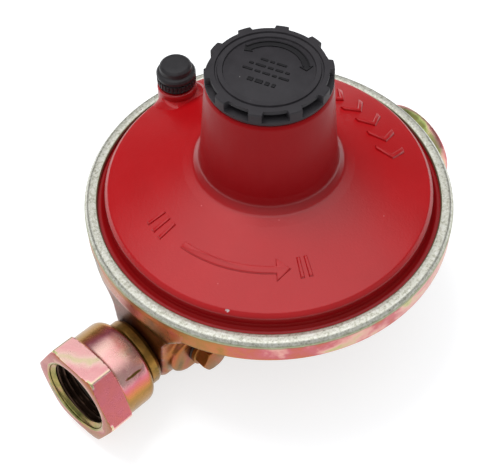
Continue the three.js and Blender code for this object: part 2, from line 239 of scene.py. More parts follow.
def cut_by(o, cutters):
    for c in cutters:
        m = o.modifiers.new("cut", "BOOLEAN")
        m.operation = "DIFFERENCE"
        m.solver = "EXACT"
        m.object = c
    baked(o)
    for c in cutters:
        bpy.data.objects.remove(c)
    return o


# ----------------------------------------------------------------- materials
class Mat:
    def __init__(self, name):
        self.m = bpy.data.materials.new(name)
        self.m.use_nodes = True
        self.nt = self.m.node_tree
        self.b = next(n for n in self.nt.nodes if n.type == "BSDF_PRINCIPLED")
        tc = self.nt.nodes.new("ShaderNodeTexCoord")
        sc = self.nt.nodes.new("ShaderNodeVectorMath")
        sc.operation = "SCALE"
        sc.inputs["Scale"].default_value = 1000.0
        self.nt.links.new(tc.outputs["Object"], sc.inputs[0])
        self.co = sc.outputs[0]           # millimetres in the row frame

    def n(self, kind, **props):
        node = self.nt.nodes.new("ShaderNode" + kind)
        for k, v in props.items():
            setattr(node, k, v)
        return node

    def put(self, socket, value):
        if isinstance(value, (int, float, tuple, list)):
            socket.default_value = value
        else:
            self.nt.links.new(value, socket)

    def noise(self, scale, detail=3, rough=0.5, co=None, distortion=0.0):
        n = self.n("TexNoise")
        n.inputs["Scale"].default_value = scale
        n.inputs["Detail"].default_value = detail
        n.inputs["Roughness"].default_value = rough
        n.inputs["Distortion"].default_value = distortion
        self.nt.links.new(co or self.co, n.inputs["Vector"])
        return n.outputs["Fac"]

    def voronoi(self, scale, co=None, feature="F1"):
        n = self.n("TexVoronoi", feature=feature)
        n.inputs["Scale"].default_value = scale
        self.nt.links.new(co or self.co, n.inputs["Vector"])
        return n

    def math(self, op, a, b=0.0, c=None, clamp=False):
        n = self.n("Math", operation=op, use_clamp=clamp)
        self.put(n.inputs[0], a)
        self.put(n.inputs[1], b)
        if c is not None:
            self.put(n.inputs[2], c)
        return n.outputs[0]

    def ramp(self, fac, stops, mode="LINEAR"):
        n = self.n("ValToRGB")
        n.color_ramp.interpolation = mode
        els = n.color_ramp.elements
        while len(els) > 1:
            els.remove(els[-1])
        els[0].position, els[0].color = stops[0][0], (*stops[0][1], 1)
        for p, c in stops[1:]:
            e = els.new(p)
            e.color = (*c, 1)
        self.put(n.inputs[0], fac)
        return n.outputs[0]

    def step(self, fac, lo, hi, a=0.0, b=1.0):
        n = self.n("MapRange", interpolation_type="SMOOTHSTEP")
        self.put(n.inputs["Value"], fac)
        n.inputs["From Min"].default_value = lo
        n.inputs["From Max"].default_value = hi
        n.inputs["To Min"].default_value = a
        n.inputs["To Max"].default_value = b
        return n.outputs[0]

    def mix(self, fac, a, b, blend="MIX"):
        n = self.n("Mix", data_type="RGBA", blend_type=blend)
        self.put(n.inputs["Factor"], fac)
        for s, v in ((n.inputs[6], a), (n.inputs[7], b)):
            if isinstance(v, tuple) and len(v) == 3:
                v = (*v, 1)
            self.put(s, v)
        return n.outputs[2]

    def xyz(self, co=None):
        n = self.n("SeparateXYZ")
        self.nt.links.new(co or self.co, n.inputs[0])
        return n.outputs

    def vec(self, x, y, z):
        n = self.n("CombineXYZ")
        for s, v in zip(n.inputs, (x, y, z)):
            self.put(s, v)
        return n.outputs[0]

    def bump(self, height, strength=0.3, distance=0.05, normal=None):
        n = self.n("Bump")
        n.inputs["Strength"].default_value = strength
        n.inputs["Distance"].default_value = distance * MM
        self.put(n.inputs["Height"], height)
        if normal is not None:
            self.nt.links.new(normal, n.inputs["Normal"])
        return n.outputs[0]

    def set(self, **inputs):
        names = {
            "base": "Base Color", "rough": "Roughness", "metal": "Metallic", "coat": "Coat Weight",
            "coat_rough": "Coat Roughness", "normal": "Normal", "coat_normal": "Coat Normal", "ior": "IOR",
            "spec": "Specular IOR Level", "sheen": "Sheen Weight", "coat_ior": "Coat IOR",
        }
        for k, v in inputs.items():
            if k == "base" and isinstance(v, tuple) and len(v) == 3:
                v = (*v, 1)
            self.put(self.b.inputs[names[k]], v)
        return self.m


def srgb(r, g, b):
    f = lambda c: (c / 255 / 12.92) if c / 255 <= 0.04045 else ((c / 255 + 0.055) / 1.055) ** 2.4
    return (f(r), f(g), f(b))


def make_enamel():
    k = Mat("red_enamel")
    tone = k.noise(0.045, 4, 0.6)
    base = k.ramp(tone, [(0.25, srgb(160, 9, 15)), (0.75, srgb(171, 12, 19))])
    # painted shade: the colour is darkened round the tower, most at its foot, and in the step beside the lip
    x, y, z = k.xyz()
    rad = k.math("SQRT", k.math("ADD", k.math("MULTIPLY", x, x), k.math("MULTIPLY", y, y)))
    near = k.step(rad, 18.6, 22.0, 1.0, 0.0)
    foot = k.math("MULTIPLY", k.step(z, 60.5, 80.0, 1.0, 0.62), near)
    wall = k.math("MULTIPLY", k.step(z, 60.8, 62.6), k.step(rad, 18.7, 20.0, 1.0, 0.0))
    step = k.step(rad, 44.9, 46.0)
    base = k.mix(k.math("MULTIPLY", k.math("MAXIMUM", foot, step), 0.46), base, srgb(78, 6, 9))
    # fine dust, a few pale specks
    cell = k.voronoi(0.22)
    speck = k.step(cell.outputs["Distance"], 0.03, 0.06, 1.0, 0.0)
    rare = k.step(k.noise(0.35, 2, 0.5), 0.50, 0.58)
    speck = k.math("MULTIPLY", speck, rare)
    base = k.mix(k.math("MULTIPLY", speck, 0.5), base, srgb(214, 120, 122))
    # one small chip at the plateau's edge, down to bare metal
    chip_at = k.n("VectorMath", operation="DISTANCE")
    k.nt.links.new(k.co, chip_at.inputs[0])
    a = math.radians(256.8 - 43.5)
    chip_at.inputs[1].default_value = (44.6 * math.cos(a), 44.6 * math.sin(a), 50.0)
    chip_d = k.math("ADD", chip_at.outputs["Value"], k.math("MULTIPLY", k.noise(1.6, 2, 0.6), 1.0))
    chip = k.step(chip_d, 0.95, 1.15, 1.0, 0.0)
    base = k.mix(chip, base, srgb(186, 168, 168))
    peel = k.noise(1.5, 3, 0.55)
    fine = k.noise(4.2, 2, 0.5)
    height = k.math("ADD", peel, k.math("MULTIPLY", fine, 0.35))
    height = k.math("ADD", height, k.math("MULTIPLY", speck, 0.9))
    height = k.math("SUBTRACT", height, k.math("MULTIPLY", chip, 2.5))
    nrm = k.bump(height, 0.8, 0.05)
    rough = k.math("ADD", 0.26, k.math("MULTIPLY", k.noise(0.12, 3, 0.6), 0.12))
    calm = k.math("SUBTRACT", 1.0, k.math("MULTIPLY", k.math("MAXIMUM", wall, k.math("MULTIPLY", step, 0.6)), 0.80))
    return k.set(base=base, rough=rough, normal=nrm, coat=k.math("MULTIPLY", calm, 0.30), coat_rough=0.12, coat_normal=nrm, spec=k.math("MULTIPLY", calm, 0.42))


FILM = [                                # interference colours of a yellow chromate film
    (0.00, srgb(84, 44, 22)),           # dark brown
    (0.13, srgb(128, 100, 40)),         # olive
    (0.26, srgb(178, 128, 54)),         # old gold
    (0.38, srgb(206, 128, 74)),         # orange
    (0.50, srgb(210, 112, 100)),        # salmon
    (0.60, srgb(214, 116, 130)),        # rose
    (0.70, srgb(240, 178, 176)),        # pink
    (0.78, srgb(240, 200, 186)),        # pale pink
    (0.86, srgb(208, 208, 146)),        # yellow-green
    (0.94, srgb(152, 168, 104)),        # green
    (1.00, srgb(132, 132, 78)),         # olive green
]


def film_normal(k):
    geo = k.n("NewGeometry")
    local = k.n("VectorTransform", vector_type="NORMAL", convert_from="WORLD", convert_to="OBJECT")
    k.nt.links.new(geo.outputs["Normal"], local.inputs[0])
    return local.outputs[0]


def along(k, vector, direction):
    d = k.n("VectorMath", operation="DOT_PRODUCT")
    k.nt.links.new(vector, d.inputs[0])
    d.inputs[1].default_value = Vector(direction).normalized()
    return d.outputs["Value"]


def film_noise(k, scale, offset=(0, 0, 0), co=None):
    add = k.n("VectorMath", operation="ADD")
    k.nt.links.new(co or k.co, add.inputs[0])
    add.inputs[1].default_value = offset
    out = add.outputs[0]
    return k.noise(scale, 3.5, 0.55, out, 0.8), k.noise(scale * 5, 4, 0.62, out, 0.4), out


def film_finish(k, f, small, co, rough, cast, crevice_shade=0.0, tint=None, reach=9.0):
    col = k.ramp(f, FILM)
    if tint:
        col = k.mix(tint[1], col, tint[0], "MULTIPLY")
    # handling nicks: short dark scratches
    nick = k.noise(0.55, 4, 0.7, co, 1.5)
    nick = k.step(nick, 0.69, 0.73)
    col = k.mix(k.math("MULTIPLY", nick, 0.55), col, srgb(70, 44, 30))
    r = k.math("ADD", rough, k.math("MULTIPLY", k.math("SUBTRACT", small, 0.5), 0.25))
    if crevice_shade:
        # painted shade: an ambient-occlusion mask darkens the colour toward dark brown in hollows and between parts,
        # and roughens it a little
        ao = k.n("AmbientOcclusion", samples=8)
        ao.inputs["Distance"].default_value = reach * MM
        hid = k.step(ao.outputs["AO"], 0.25, 0.85, 1.0, 0.0)
        hid = k.math("MULTIPLY", hid, k.math("ADD", 0.65, k.math("MULTIPLY", small, 0.7)), clamp=True)
        col = k.mix(k.math("MULTIPLY", hid, crevice_shade), col, srgb(70, 28, 14))
        r = k.math("ADD", r, k.math("MULTIPLY", hid, 0.12))
    grain = k.noise(3.2 if cast else 7.0, 3, 0.65, co)
    height = k.math("ADD", grain, k.math("MULTIPLY", small, 0.9 if cast else 0.2))
    height = k.math("SUBTRACT", height, k.math("MULTIPLY", nick, 0.8))
    nrm = k.bump(height, 0.6 if cast else 0.3, 0.07 if cast else 0.02)
    return k.set(base=col, rough=r, metal=0.85, normal=nrm, coat=0.12, coat_rough=0.2)


def make_cast():
    """Yellow-chromated casting: browns and olive low down and on the neck, rosier high on the outlet."""
    k = Mat("cast_chromate")
    patch, small, co = film_noise(k, 0.075, (7, 3, 11))
    x, y, z = k.xyz()
    n = film_normal(k)
    f = k.math("ADD", k.math("MULTIPLY", patch, 1.15), k.math("MULTIPLY", small, 0.30))
    f = k.math("SUBTRACT", f, 0.42)
    # painted highlight: faces turned up toward the light are pushed a little toward the rosier end of the film ramp
    f = k.math("ADD", f, k.math("MULTIPLY", along(k, n, (-0.2, -0.3, 0.9)), 0.10))
    # the outlet boss is pale green with a rosy end
    out = k.step(k.math("ADD", x, k.math("MULTIPLY", k.math("SUBTRACT", patch, 0.5), 16.0)), 44.0, 57.0)
    bands = k.math("ADD", k.math("MULTIPLY", patch, 0.75), k.math("MULTIPLY", small, 0.35))
    end = k.step(x, OUT_FACE - 3.0, OUT_FACE - 0.6)
    f_out = k.math("SUBTRACT", k.math("ADD", bands, 0.38), k.math("MULTIPLY", end, 0.26))
    f = k.math("ADD", k.math("MULTIPLY", f, k.math("SUBTRACT", 1.0, out)), k.math("MULTIPLY", f_out, out))
    # painted shade: the neck's end face, which lies behind the union nut, is tinted dark brown
    shade_face = k.math("MULTIPLY", k.step(x, -49.0, -49.5), k.step(z, 36.0, 37.6, 1.0, 0.0))
    tint = k.mix(shade_face, (0.66, 0.60, 0.48), (0.34, 0.20, 0.15))
    tint = k.mix(out, tint, (0.95, 0.95, 0.80))
    return film_finish(k, f, small, co, 0.30, True, crevice_shade=0.75, reach=10.0, tint=(tint, 1.0))


def make_plain_film(name, scale, offset, gain, bias, rough=0.28, tint=None, crevice_shade=0.0):
    k = Mat(name)
    patch, small, co = film_noise(k, scale, offset)
    f = k.math("ADD", k.math("MULTIPLY", patch, gain), k.math("MULTIPLY", small, 0.3))
    f = k.math("ADD", f, bias - 0.5 * gain - 0.15)
    return film_finish(k, f, small, co, rough, False, crevice_shade=crevice_shade, tint=tint)


def make_nut_film():
    """The union nut: each face has taken the film a little differently; the collar's pink band is a painted highlight
    and the front's darker tint is painted shade.
    """
    k = Mat("nut_chromate")
    at = k.n("Attribute", attribute_name="own_mm")
    own = at.outputs["Vector"]
    patch, small, co = film_noise(k, 0.11, (3, 0, 8), own)
    x, y, z = k.xyz(own)
    n = film_normal(k)
    r = k.math("SQRT", k.math("ADD", k.math("MULTIPLY", y, y), k.math("MULTIPLY", z, z)))
    p = k.math("SUBTRACT", patch, 0.5)
    q = k.math("SUBTRACT", small, 0.5)
    wander = k.math("ADD", k.math("MULTIPLY", p, 0.75), k.math("MULTIPLY", q, 0.30))
    # round collar: painted highlight, pink where it faces up toward the light, running through orange to gold on both
    # sides
    up = along(k, n, (0.05, -0.42, 0.90))
    collar = k.math("ADD", k.step(up, 0.52, 0.95, 0.22, 0.75), k.math("MULTIPLY", wander, 0.35))
    # flats: pale pink with green streaks on top, rose on the -Y side, olive underneath
    lean = k.math("ADD", k.math("MULTIPLY", k.math("ADD", x, 69.6), 0.75), k.math("MULTIPLY", y, 0.62))
    lean = k.math("ADD", lean, k.math("MULTIPLY", p, 7.0))
    band = k.math("MULTIPLY", k.step(lean, -3.4, 0.4), k.step(lean, 0.4, 4.0, 1.0, 0.0))
    top = k.math("ADD", k.math("ADD", 0.69, k.math("MULTIPLY", band, 0.13)), k.math("MULTIPLY", wander, 0.13))
    side = k.math("ADD", 0.555, k.math("MULTIPLY", wander, 0.26))
    low = k.math("ADD", 0.34, k.math("MULTIPLY", wander, 0.5))
    upness = along(k, n, (0.0, 0.0, 1.0))
    is_top = k.step(upness, 0.72, 0.86)
    is_low = k.step(upness, -0.1, 0.2, 1.0, 0.0)
    flat = k.math("ADD", k.math("MULTIPLY", top, is_top), k.math("MULTIPLY", side, k.math("SUBTRACT", 1.0, is_top)))
    flat = k.math("ADD", k.math("MULTIPLY", flat, k.math("SUBTRACT", 1.0, is_low)), k.math("MULTIPLY", low, is_low))
    on_hex = k.step(x, NUT_HEX_REAR - 0.25, NUT_HEX_REAR + 0.1, 1.0, 0.0)
    f = k.math("ADD", k.math("MULTIPLY", flat, on_hex), k.math("MULTIPLY", collar, k.math("SUBTRACT", 1.0, on_hex)))
    # mouth: rose and ochre, with a green ring beside the thread
    face = k.step(along(k, n, (-0.99446, -0.06309, 0.08403)), 0.80, 0.93)
    green = k.math("MULTIPLY", k.step(r, 11.9, 13.4, 1.0, 0.0), k.step(k.noise(0.09, 2, 0.5, co), 0.40, 0.56))
    ydir = k.math("MULTIPLY", y, 1 / 14.0)
    mouth = k.math("ADD", k.math("ADD", 0.34, k.math("MULTIPLY", wander, 0.55)), k.math("MULTIPLY", green, 0.42))
    mouth = k.math("ADD", mouth, k.math("MULTIPLY", k.step(ydir, 0.15, 0.75), 0.30))
    f = k.math("ADD", k.math("MULTIPLY", mouth, face), k.math("MULTIPLY", f, k.math("SUBTRACT", 1.0, face)))
    # edges: the chamfer and the hexagon's corners are painted straw and pale green, partly as wear and partly as a
    # painted highlight along the edges
    edge_wear_highlight = k.math("MULTIPLY", k.step(x, NUT_FRONT + 0.7, NUT_FRONT + 1.15, 1.0, 0.0), k.step(r, 14.6, 15.0))
    corner = k.math("MULTIPLY", k.math("MULTIPLY", k.step(r, 15.22, 15.48), on_hex), 0.8)
    edge_wear_highlight = k.math("MULTIPLY", k.math("MAXIMUM", edge_wear_highlight, corner), k.math("SUBTRACT", 1.0, k.math("MULTIPLY", face, 0.9)))
    f = k.math("ADD", k.math("MULTIPLY", f, k.math("SUBTRACT", 1.0, edge_wear_highlight)), k.math("MULTIPLY", k.math("ADD", 0.84, k.math("MULTIPLY", q, 0.25)), edge_wear_highlight))
    bevel = k.math("MULTIPLY", k.step(r, 11.35, 11.7, 1.0, 0.0), on_hex)
    f = k.math("ADD", k.math("MULTIPLY", f, k.math("SUBTRACT", 1.0, bevel)), k.math("MULTIPLY", k.math("ADD", 0.88, k.math("MULTIPLY", wander, 0.6)), bevel))
    # a dark nick across the collar
    dark = k.n("VectorMath", operation="DISTANCE")
    stretch = k.n("VectorMath", operation="MULTIPLY")
    k.nt.links.new(own, stretch.inputs[0])
    stretch.inputs[1].default_value = (0.30, 1.9, 1.9)
    k.nt.links.new(stretch.outputs[0], dark.inputs[0])
    dark.inputs[1].default_value = (-60.6 * 0.30, -10.3 * 1.9, 8.4 * 1.9)
    scar = k.step(k.math("ADD", dark.outputs["Value"], k.math("MULTIPLY", small, 0.8)), 1.0, 1.3, 1.0, 0.0)
    f = k.math("MULTIPLY", f, k.math("SUBTRACT", 1.0, k.math("MULTIPLY", scar, 0.85)))
    # painted shade: the front face and the inner lead chamfer are tinted darker, standing in for the dark surroundings
    # they reflect
    return film_finish(k, f, small, co, 0.25, False, crevice_shade=0.55, reach=3.0, tint=((0.56, 0.45, 0.32), k.math("MAXIMUM", face, bevel)))


def make_rim():
    """Chromated rim whose rolled-over lip is spun back to bare bright metal."""
    k = Mat("rim_metal")
    patch, small, co = film_noise(k, 0.055, (40, 12, 5))
    x, y, z = k.xyz()
    ang = k.math("ARCTAN2", y, x)
    rad = k.math("SQRT", k.math("ADD", k.math("MULTIPLY", x, x), k.math("MULTIPLY", y, y)))
    f = k.math("ADD", k.math("MULTIPLY", patch, 1.5), k.math("MULTIPLY", small, 0.36))
    f = k.math("ADD", f, -0.27)
    beside = k.math("MULTIPLY", k.step(x, -46.0, -39.0, 1.0, 0.0), 0.8)
    f = k.math("ADD", k.math("MULTIPLY", f, k.math("SUBTRACT", 1.0, beside)), k.math("MULTIPLY", k.math("ADD", 0.02, k.math("MULTIPLY", small, 0.4)), beside))
    # greener and darker along the top and bottom edges of the band
    low = k.step(z, 39.0, 40.3, 1.0, 0.0)
    f = k.math("SUBTRACT", f, k.math("MULTIPLY", low, 0.26))
    col = k.mix(1.0, k.ramp(f, FILM), (0.80, 0.74, 0.66), "MULTIPLY")
    spun = k.vec(k.math("MULTIPLY", ang, 14.0), k.math("MULTIPLY", rad, 1.3), k.math("MULTIPLY", z, 1.3))
    streak = k.noise(1.0, 5, 0.65, spun)
    blot = k.noise(1.3, 4, 0.7)
    silver = k.ramp(blot, [(0.30, srgb(160, 158, 140)), (0.46, srgb(212, 211, 196)), (0.66, srgb(236, 235, 226))])
    dents = k.step(k.noise(2.1, 3, 0.6, co), 0.66, 0.70)
    silver = k.mix(k.math("MULTIPLY", dents, 0.8), silver, srgb(88, 84, 70))
    edge = k.math("ADD", z, k.math("MULTIPLY", k.math("SUBTRACT", k.noise(0.5, 3, 0.6), 0.5), 0.55))
    bare = k.step(edge, LIP_Z - 1.75, LIP_Z - 1.45)
    greenish = k.math("SUBTRACT", k.step(edge, LIP_Z - 2.1, LIP_Z - 1.7), k.step(edge, LIP_Z - 1.25, LIP_Z - 0.75))
    inner = k.math("MULTIPLY", k.step(rad, LIP_R + 0.55, LIP_R + 0.25), 0.75)
    silver = k.mix(k.math("MAXIMUM", k.math("MULTIPLY", greenish, 0.75, clamp=True), inner), silver, srgb(132, 138, 92))
    col = k.mix(k.math("MULTIPLY", greenish, 0.55, clamp=True), col, srgb(104, 100, 52))
    base = k.mix(bare, col, silver)
    h = k.math("ADD", k.math("MULTIPLY", streak, 0.8), k.math("MULTIPLY", blot, 0.6))
    h = k.math("SUBTRACT", h, k.math("MULTIPLY", dents, 0.9))
    h = k.mix(bare, k.noise(2.2, 3, 0.6), h)
    nrm = k.bump(h, 0.55, 0.09)
    rough = k.math("ADD", 0.27, k.math("MULTIPLY", streak, 0.2))
    return k.set(base=base, rough=rough, metal=0.88, normal=nrm)


def make_black(name, tone, rough=0.52, grain=2.2):
    k = Mat(name)
    n1 = k.noise(0.25, 4, 0.6)
    base = k.ramp(n1, [(0.3, tuple(c * 0.86 for c in tone)), (0.7, tuple(c * 1.14 for c in tone))])
    cell = k.voronoi(0.3)
    dust = k.math("MULTIPLY", k.step(cell.outputs["Distance"], 0.03, 0.07, 1.0, 0.0), k.step(k.noise(0.5, 2, 0.5), 0.60, 0.66))
    base = k.mix(k.math("MULTIPLY", dust, 0.6), base, srgb(170, 168, 165))
    h = k.math("ADD", k.noise(grain, 3, 0.6), k.math("MULTIPLY", k.noise(0.6, 2, 0.5), 0.5))
    nrm = k.bump(h, 0.35, 0.04)
    r = k.math("ADD", rough, k.math("MULTIPLY", k.math("SUBTRACT", n1, 0.5), 0.2))
    return k.set(base=base, rough=r, normal=nrm, spec=0.26)


def make_metal(name, colour, rough=0.32, metal=0.95, brush=(1, 1, 1), contrast=0.12, bump=0.02):
    k = Mat(name)
    co = k.n("VectorMath", operation="MULTIPLY")
    k.nt.links.new(k.co, co.inputs[0])
    co.inputs[1].default_value = brush
    s = k.noise(2.5, 5, 0.65, co.outputs[0])
    blot = k.noise(0.2, 4, 0.6)
    f = k.math("ADD", k.math("MULTIPLY", s, 0.5), k.math("MULTIPLY", blot, 0.5))
    base = k.ramp(f, [(0.3, tuple(c * (1 - contrast) for c in colour)), (0.7, tuple(min(1, c * (1 + contrast)) for c in colour))])
    nrm = k.bump(s, 0.4, bump)
    r = k.math("ADD", rough, k.math("MULTIPLY", k.math("SUBTRACT", s, 0.5), 0.3))
    return k.set(base=base, rough=r, metal=metal, normal=nrm)


def make_rubber(name, tone, rough=0.7):
    k = Mat(name)
    n1 = k.noise(0.8, 4, 0.6)
    base = k.ramp(n1, [(0.3, tuple(c * 0.8 for c in tone)), (0.7, tuple(c * 1.25 for c in tone))])
    nrm = k.bump(k.noise(4.0, 3, 0.6), 0.4, 0.03)
    return k.set(base=base, rough=k.math("ADD", rough - 0.08, k.math("MULTIPLY", n1, 0.16)), normal=nrm, spec=0.35)


ENAMEL = make_enamel()
RIM = make_rim()
CAST = make_cast()
NUTMAT = make_nut_film()
NIPPLE = make_plain_film("nipple_olive", 0.10, (25, 9, 2), 0.30, 0.20, 0.30, crevice_shade=0.55)
PLUGMAT = make_plain_film("plug_chromate", 0.12, (5, 19, 2), 0.65, 0.26, 0.34, crevice_shade=0.8, tint=((0.62, 0.54, 0.42), 1.0))
THREAD = make_metal("thread_dark", srgb(74, 54, 42), 0.36, 0.85, contrast=0.35)
CAPMAT = make_black("cap_plastic", srgb(46, 44, 47), 0.50)
CAPDARK = make_black("cap_plastic_marks", srgb(26, 25, 27), 0.55)
VENTMAT = make_black("vent_plastic", srgb(43, 42, 44), 0.42)
RUBBER = make_rubber("rubber_black", (0.018, 0.018, 0.019))
GASKET = make_rubber("gasket_dark", (0.045, 0.03, 0.022), 0.6)
STEEL = make_metal("steel_zinc", (0.62, 0.63, 0.65), 0.33)
WIRE = make_metal("spring_steel", (0.42, 0.43, 0.45), 0.3)
BRASS = make_metal("brass_turned", (0.72, 0.52, 0.25), 0.28, brush=(6, 0.6, 0.6))
MESH = make_metal("filter_mesh", (0.50, 0.50, 0.48), 0.45)
ACETAL = make_rubber("acetal_white", (0.62, 0.60, 0.54), 0.42)


def paint(o, material):
    o.data.materials.clear()
    o.data.materials.append(material)
    return o


def finish_piece(o, material, body, slot, *nodes):
    paint(o, material)
    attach(o, body)
    if nodes:
        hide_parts(*nodes)
    return o


# ---------------------------------------------------------------- the body
def cast_body():
    parts = []
    outer = rounded([
        (0, 0), (24.4, 0, 0.8), (25.4, 2.2), (25.7, 9), (27.0, 17, 6), (30.0, 24, 8), (34.8, 29.2, 8), (41, 33.2, 8),
        (47.5, 36.6, 6), (50.9, 38.2, 1.0), (50.9, 41.3), (0, 41.3),
    ], 5)
    parts.append(lathe("cast_hub", outer, 144))
    # inlet neck: flat end face, straight flanks, half-round underside
    face_side = [(11.2, 37), (11.15, 33.5), (10.9, 30), (10.3, 26.5), (9.7, 24), (9.0, 20.5), (8.6, 17.5), (8.3, 14.2), (7.3, 11.2), (5.4, 8.7), (2.9, 7.1)]
    wide_l = [(10.6, 37), (10.7, 33.5), (11.1, 30), (11.6, 26.5), (12.0, 24), (12.4, 20.5), (12.4, 17.0), (11.6, 13.4), (9.6, 10.3), (6.9, 8.1), (3.6, 6.9)]
    wide_r = [(11.25, 37), (11.2, 33.5), (11.1, 30), (10.9, 26.5), (10.7, 24), (10.5, 20.5), (10.4, 17.0), (9.9, 13.4), (8.6, 10.9), (6.4, 8.6), (3.4, 7.0)]

    def neck_ring(x, right, left):
        return [(x, -w, z) for w, z in right] + [(x, 0, 6.6)] + [(x, w, z) for w, z in reversed(left)]

    parts.append(loft("cast_neck", [neck_ring(-49.8, face_side, face_side)] + [neck_ring(x, wide_r, wide_l) for x in (-48.3, -40, -28, -15)]))
    # the neck spreads into the rim
    levels = [(22, 10.2), (26, 10.3), (29, 10.8), (31.5, 11.8), (33.5, 13.0), (35.2, 14.4), (36.8, 16.2), (38.2, 17.9), (39.6, 19.0), (41.5, 19.6), (43.9, 19.8)]
    rings = []
    for z, w in levels:
        t = max(0.0, min(1.0, (z - 33.5) / 5.0))
        t = t * t * (3 - 2 * t)
        ring = []
        for i in range(25):
            y = -w + 2 * w * i / 24
            arc = math.sqrt(51.75 ** 2 - y * y)
            flat = min(49.8, arc)
            ring.append((-(flat + (arc - flat) * t), y, z))
        for i in range(8):
            ring.append((-22 - 2 * math.sin(i), w - 2 * w * (i + 0.5) / 8, z))
        rings.append(ring)
    parts.append(loft("cast_flare", rings))
    parts.append(lathe("cast_outlet", rounded([(0, 14), (OUT_R, 14), (OUT_R, OUT_FACE, 1.0), (0, OUT_FACE)], 5), 120, "X", (0, 0, AXIS_Z)))
    oval = [(PORT_X - (3.5 if i > 24 else 0) + math.cos(TAU * (i - 12.5) / 48), PORT_Z, TAU * (i - 12.5) / 48) for i in range(48)]
    rings = []
    for y, r in ((-2, 7.1), (-12.2, 7.1), (-12.6, 6.95), (-12.85, 6.5)):
        rings.append([(cx - math.cos(t) + r * math.cos(t), y, cz + r * math.sin(t)) for cx, cz, t in oval])
    parts.append(loft("cast_port", rings))
    o = join(parts, "casting")
    m = o.modifiers.new("vox", "REMESH")
    m.mode = "VOXEL"
    m.voxel_size = 0.62 * MM
    m.adaptivity = 0.0
    s = o.modifiers.new("soft", "SMOOTH")
    s.factor = 0.5
    s.iterations = 4
    baked(o)
    cavity = lathe("cut_cavity", [
        (0, 5), (20, 5), (20, 28), (22, 30.6), (36, 36.3), (42, 38.6), (44.6, 40.6), (45.5, 41.4), (50.2, 41.4), (50.2, 48), (0, 48),
    ], 96)
    inlet = lathe("cut_inlet", [(0, -60), (7.3, -60), (7.3, -36.8), (5.3, -36.8), (5.3, -15), (0, -15)], 64, "X", (0, 0, AXIS_Z))
    outlet = lathe("cut_outlet", [(0, 12), (6, 12), (6, 44), (10.9, 47), (10.9, 63.4), (12.0, 65.2), (12.0, 68), (0, 68)], 96, "X", (0, 0, AXIS_Z))
    port = lathe("cut_port", [(0, 3), (1.5, 3), (1.5, 8.2), (3.3, 8.4), (3.3, 16), (0, 16)], 40, "Y", (PORT_X, 0, PORT_Z))
    cut_by(o, [cavity, inlet, outlet, port])
    shade(o.data, 40)
    return o


casting = finish_piece(cast_body(), CAST, "regulator_body", "body_chromate", "lower_body")

rim = lathe("rim_band", rounded([
    (50.25, 38.9), (51.1, 38.75, 0.3), (RIM_R, 39.5, 0.5), (RIM_R, 45.2, 1.0), (50.7, LIP_Z, 1.1), (49.2, LIP_Z, 0.5), (48.25, LIP_Z - 0.12, 0.3), (LIP_R, LIP_Z - 0.5, 0.2),
    (LIP_R + 0.05, 45.35, 0.15), (50.25, 45.35),
], 6), 360, sharp=50)
finish_piece(rim, RIM, "regulator_body", "body_chromate")


def thread_sleeve(name, r_out, minor, depth, w0, w1, pitch, hand, axis, centre, rows_per=8, seg=96, lead=1.0):
    """A ring whose bore carries a real helical thread (w grows along the axis)."""
    rows = []
    n = int((w1 - w0) / pitch * rows_per)
    prof = [(r_out, w0), (r_out, w1)]
    inner = [(minor, w1 - (w1 - w0) * i / n) for i in range(n + 1)]

    def radius(r, w, t):
        if r >= r_out - 1e-6:
            return r
        phase = ((w / pitch) + hand * t / TAU) % 1.0
        tri = 1 - abs(2 * phase - 1)
        tri = min(1.0, max(0.0, (tri - 0.08) / 0.84))
        fade = min(1.0, (w1 - w) / lead, (w - w0) / 0.5 + 0.2)
        grow = max(0.0, (lead - (w1 - w)) / lead) * depth
        return minor + depth * tri * max(0.0, fade) + grow
    return lathe(name, prof + inner, seg, axis, centre, radius, sharp=60)


sleeve = thread_sleeve("outlet_thread", 11.2, 10.0, 0.75, 47.2, OUT_FACE - 0.7, 1.81, 1, "X", (0, 0, AXIS_Z))
finish_piece(sleeve, THREAD, "regulator_body", "body_chromate")


# ---------------------------------------------------------------- top cover
COVER_OUT = [
    (49.9, 43.8), (49.9, 45.1, 0.2), (46.9, 45.1, 0.9), (46.1, 46.2, 0.5), (45.75, 47.2, 0.4), (45.62, 49.3, 0.9), (44.6, 50.62, 1.1), (42.9, 51.3, 1.2),
    (23.4, 58.72, 2.0), (20.6, 59.55, 1.6), (18.95, 61.4, 2.2), (18.45, 64.5, 3), (16.45, 87.2, 1.5), (15.9, TOWER_TOP, 0.5),
]
COVER_IN = [
    (13.7, TOWER_TOP, 0.1), (13.2, 87.6), (13.2, 63), (15, 59, 2), (19.5, 56.7, 2), (41.6, 48.2, 1), (43.2, 46.8, 0.6), (43.7, 45), (44.3, 43.8),
]
cover = lathe("cover_shell", rounded(COVER_OUT + COVER_IN, 7), 360, sharp=50)


def cover_height(r):
    pts = rounded(COVER_OUT, 7, closed=False)
    best = None
    for (r0, z0), (r1, z1) in zip(pts, pts[1:]):
        if min(r0, r1) <= r <= max(r0, r1) and abs(r1 - r0) > 1e-6:
            z = z0 + (z1 - z0) * (r - r0) / (r1 - r0)
            best = z if best is None else max(best, z)
    return best if best is not None else 45.1


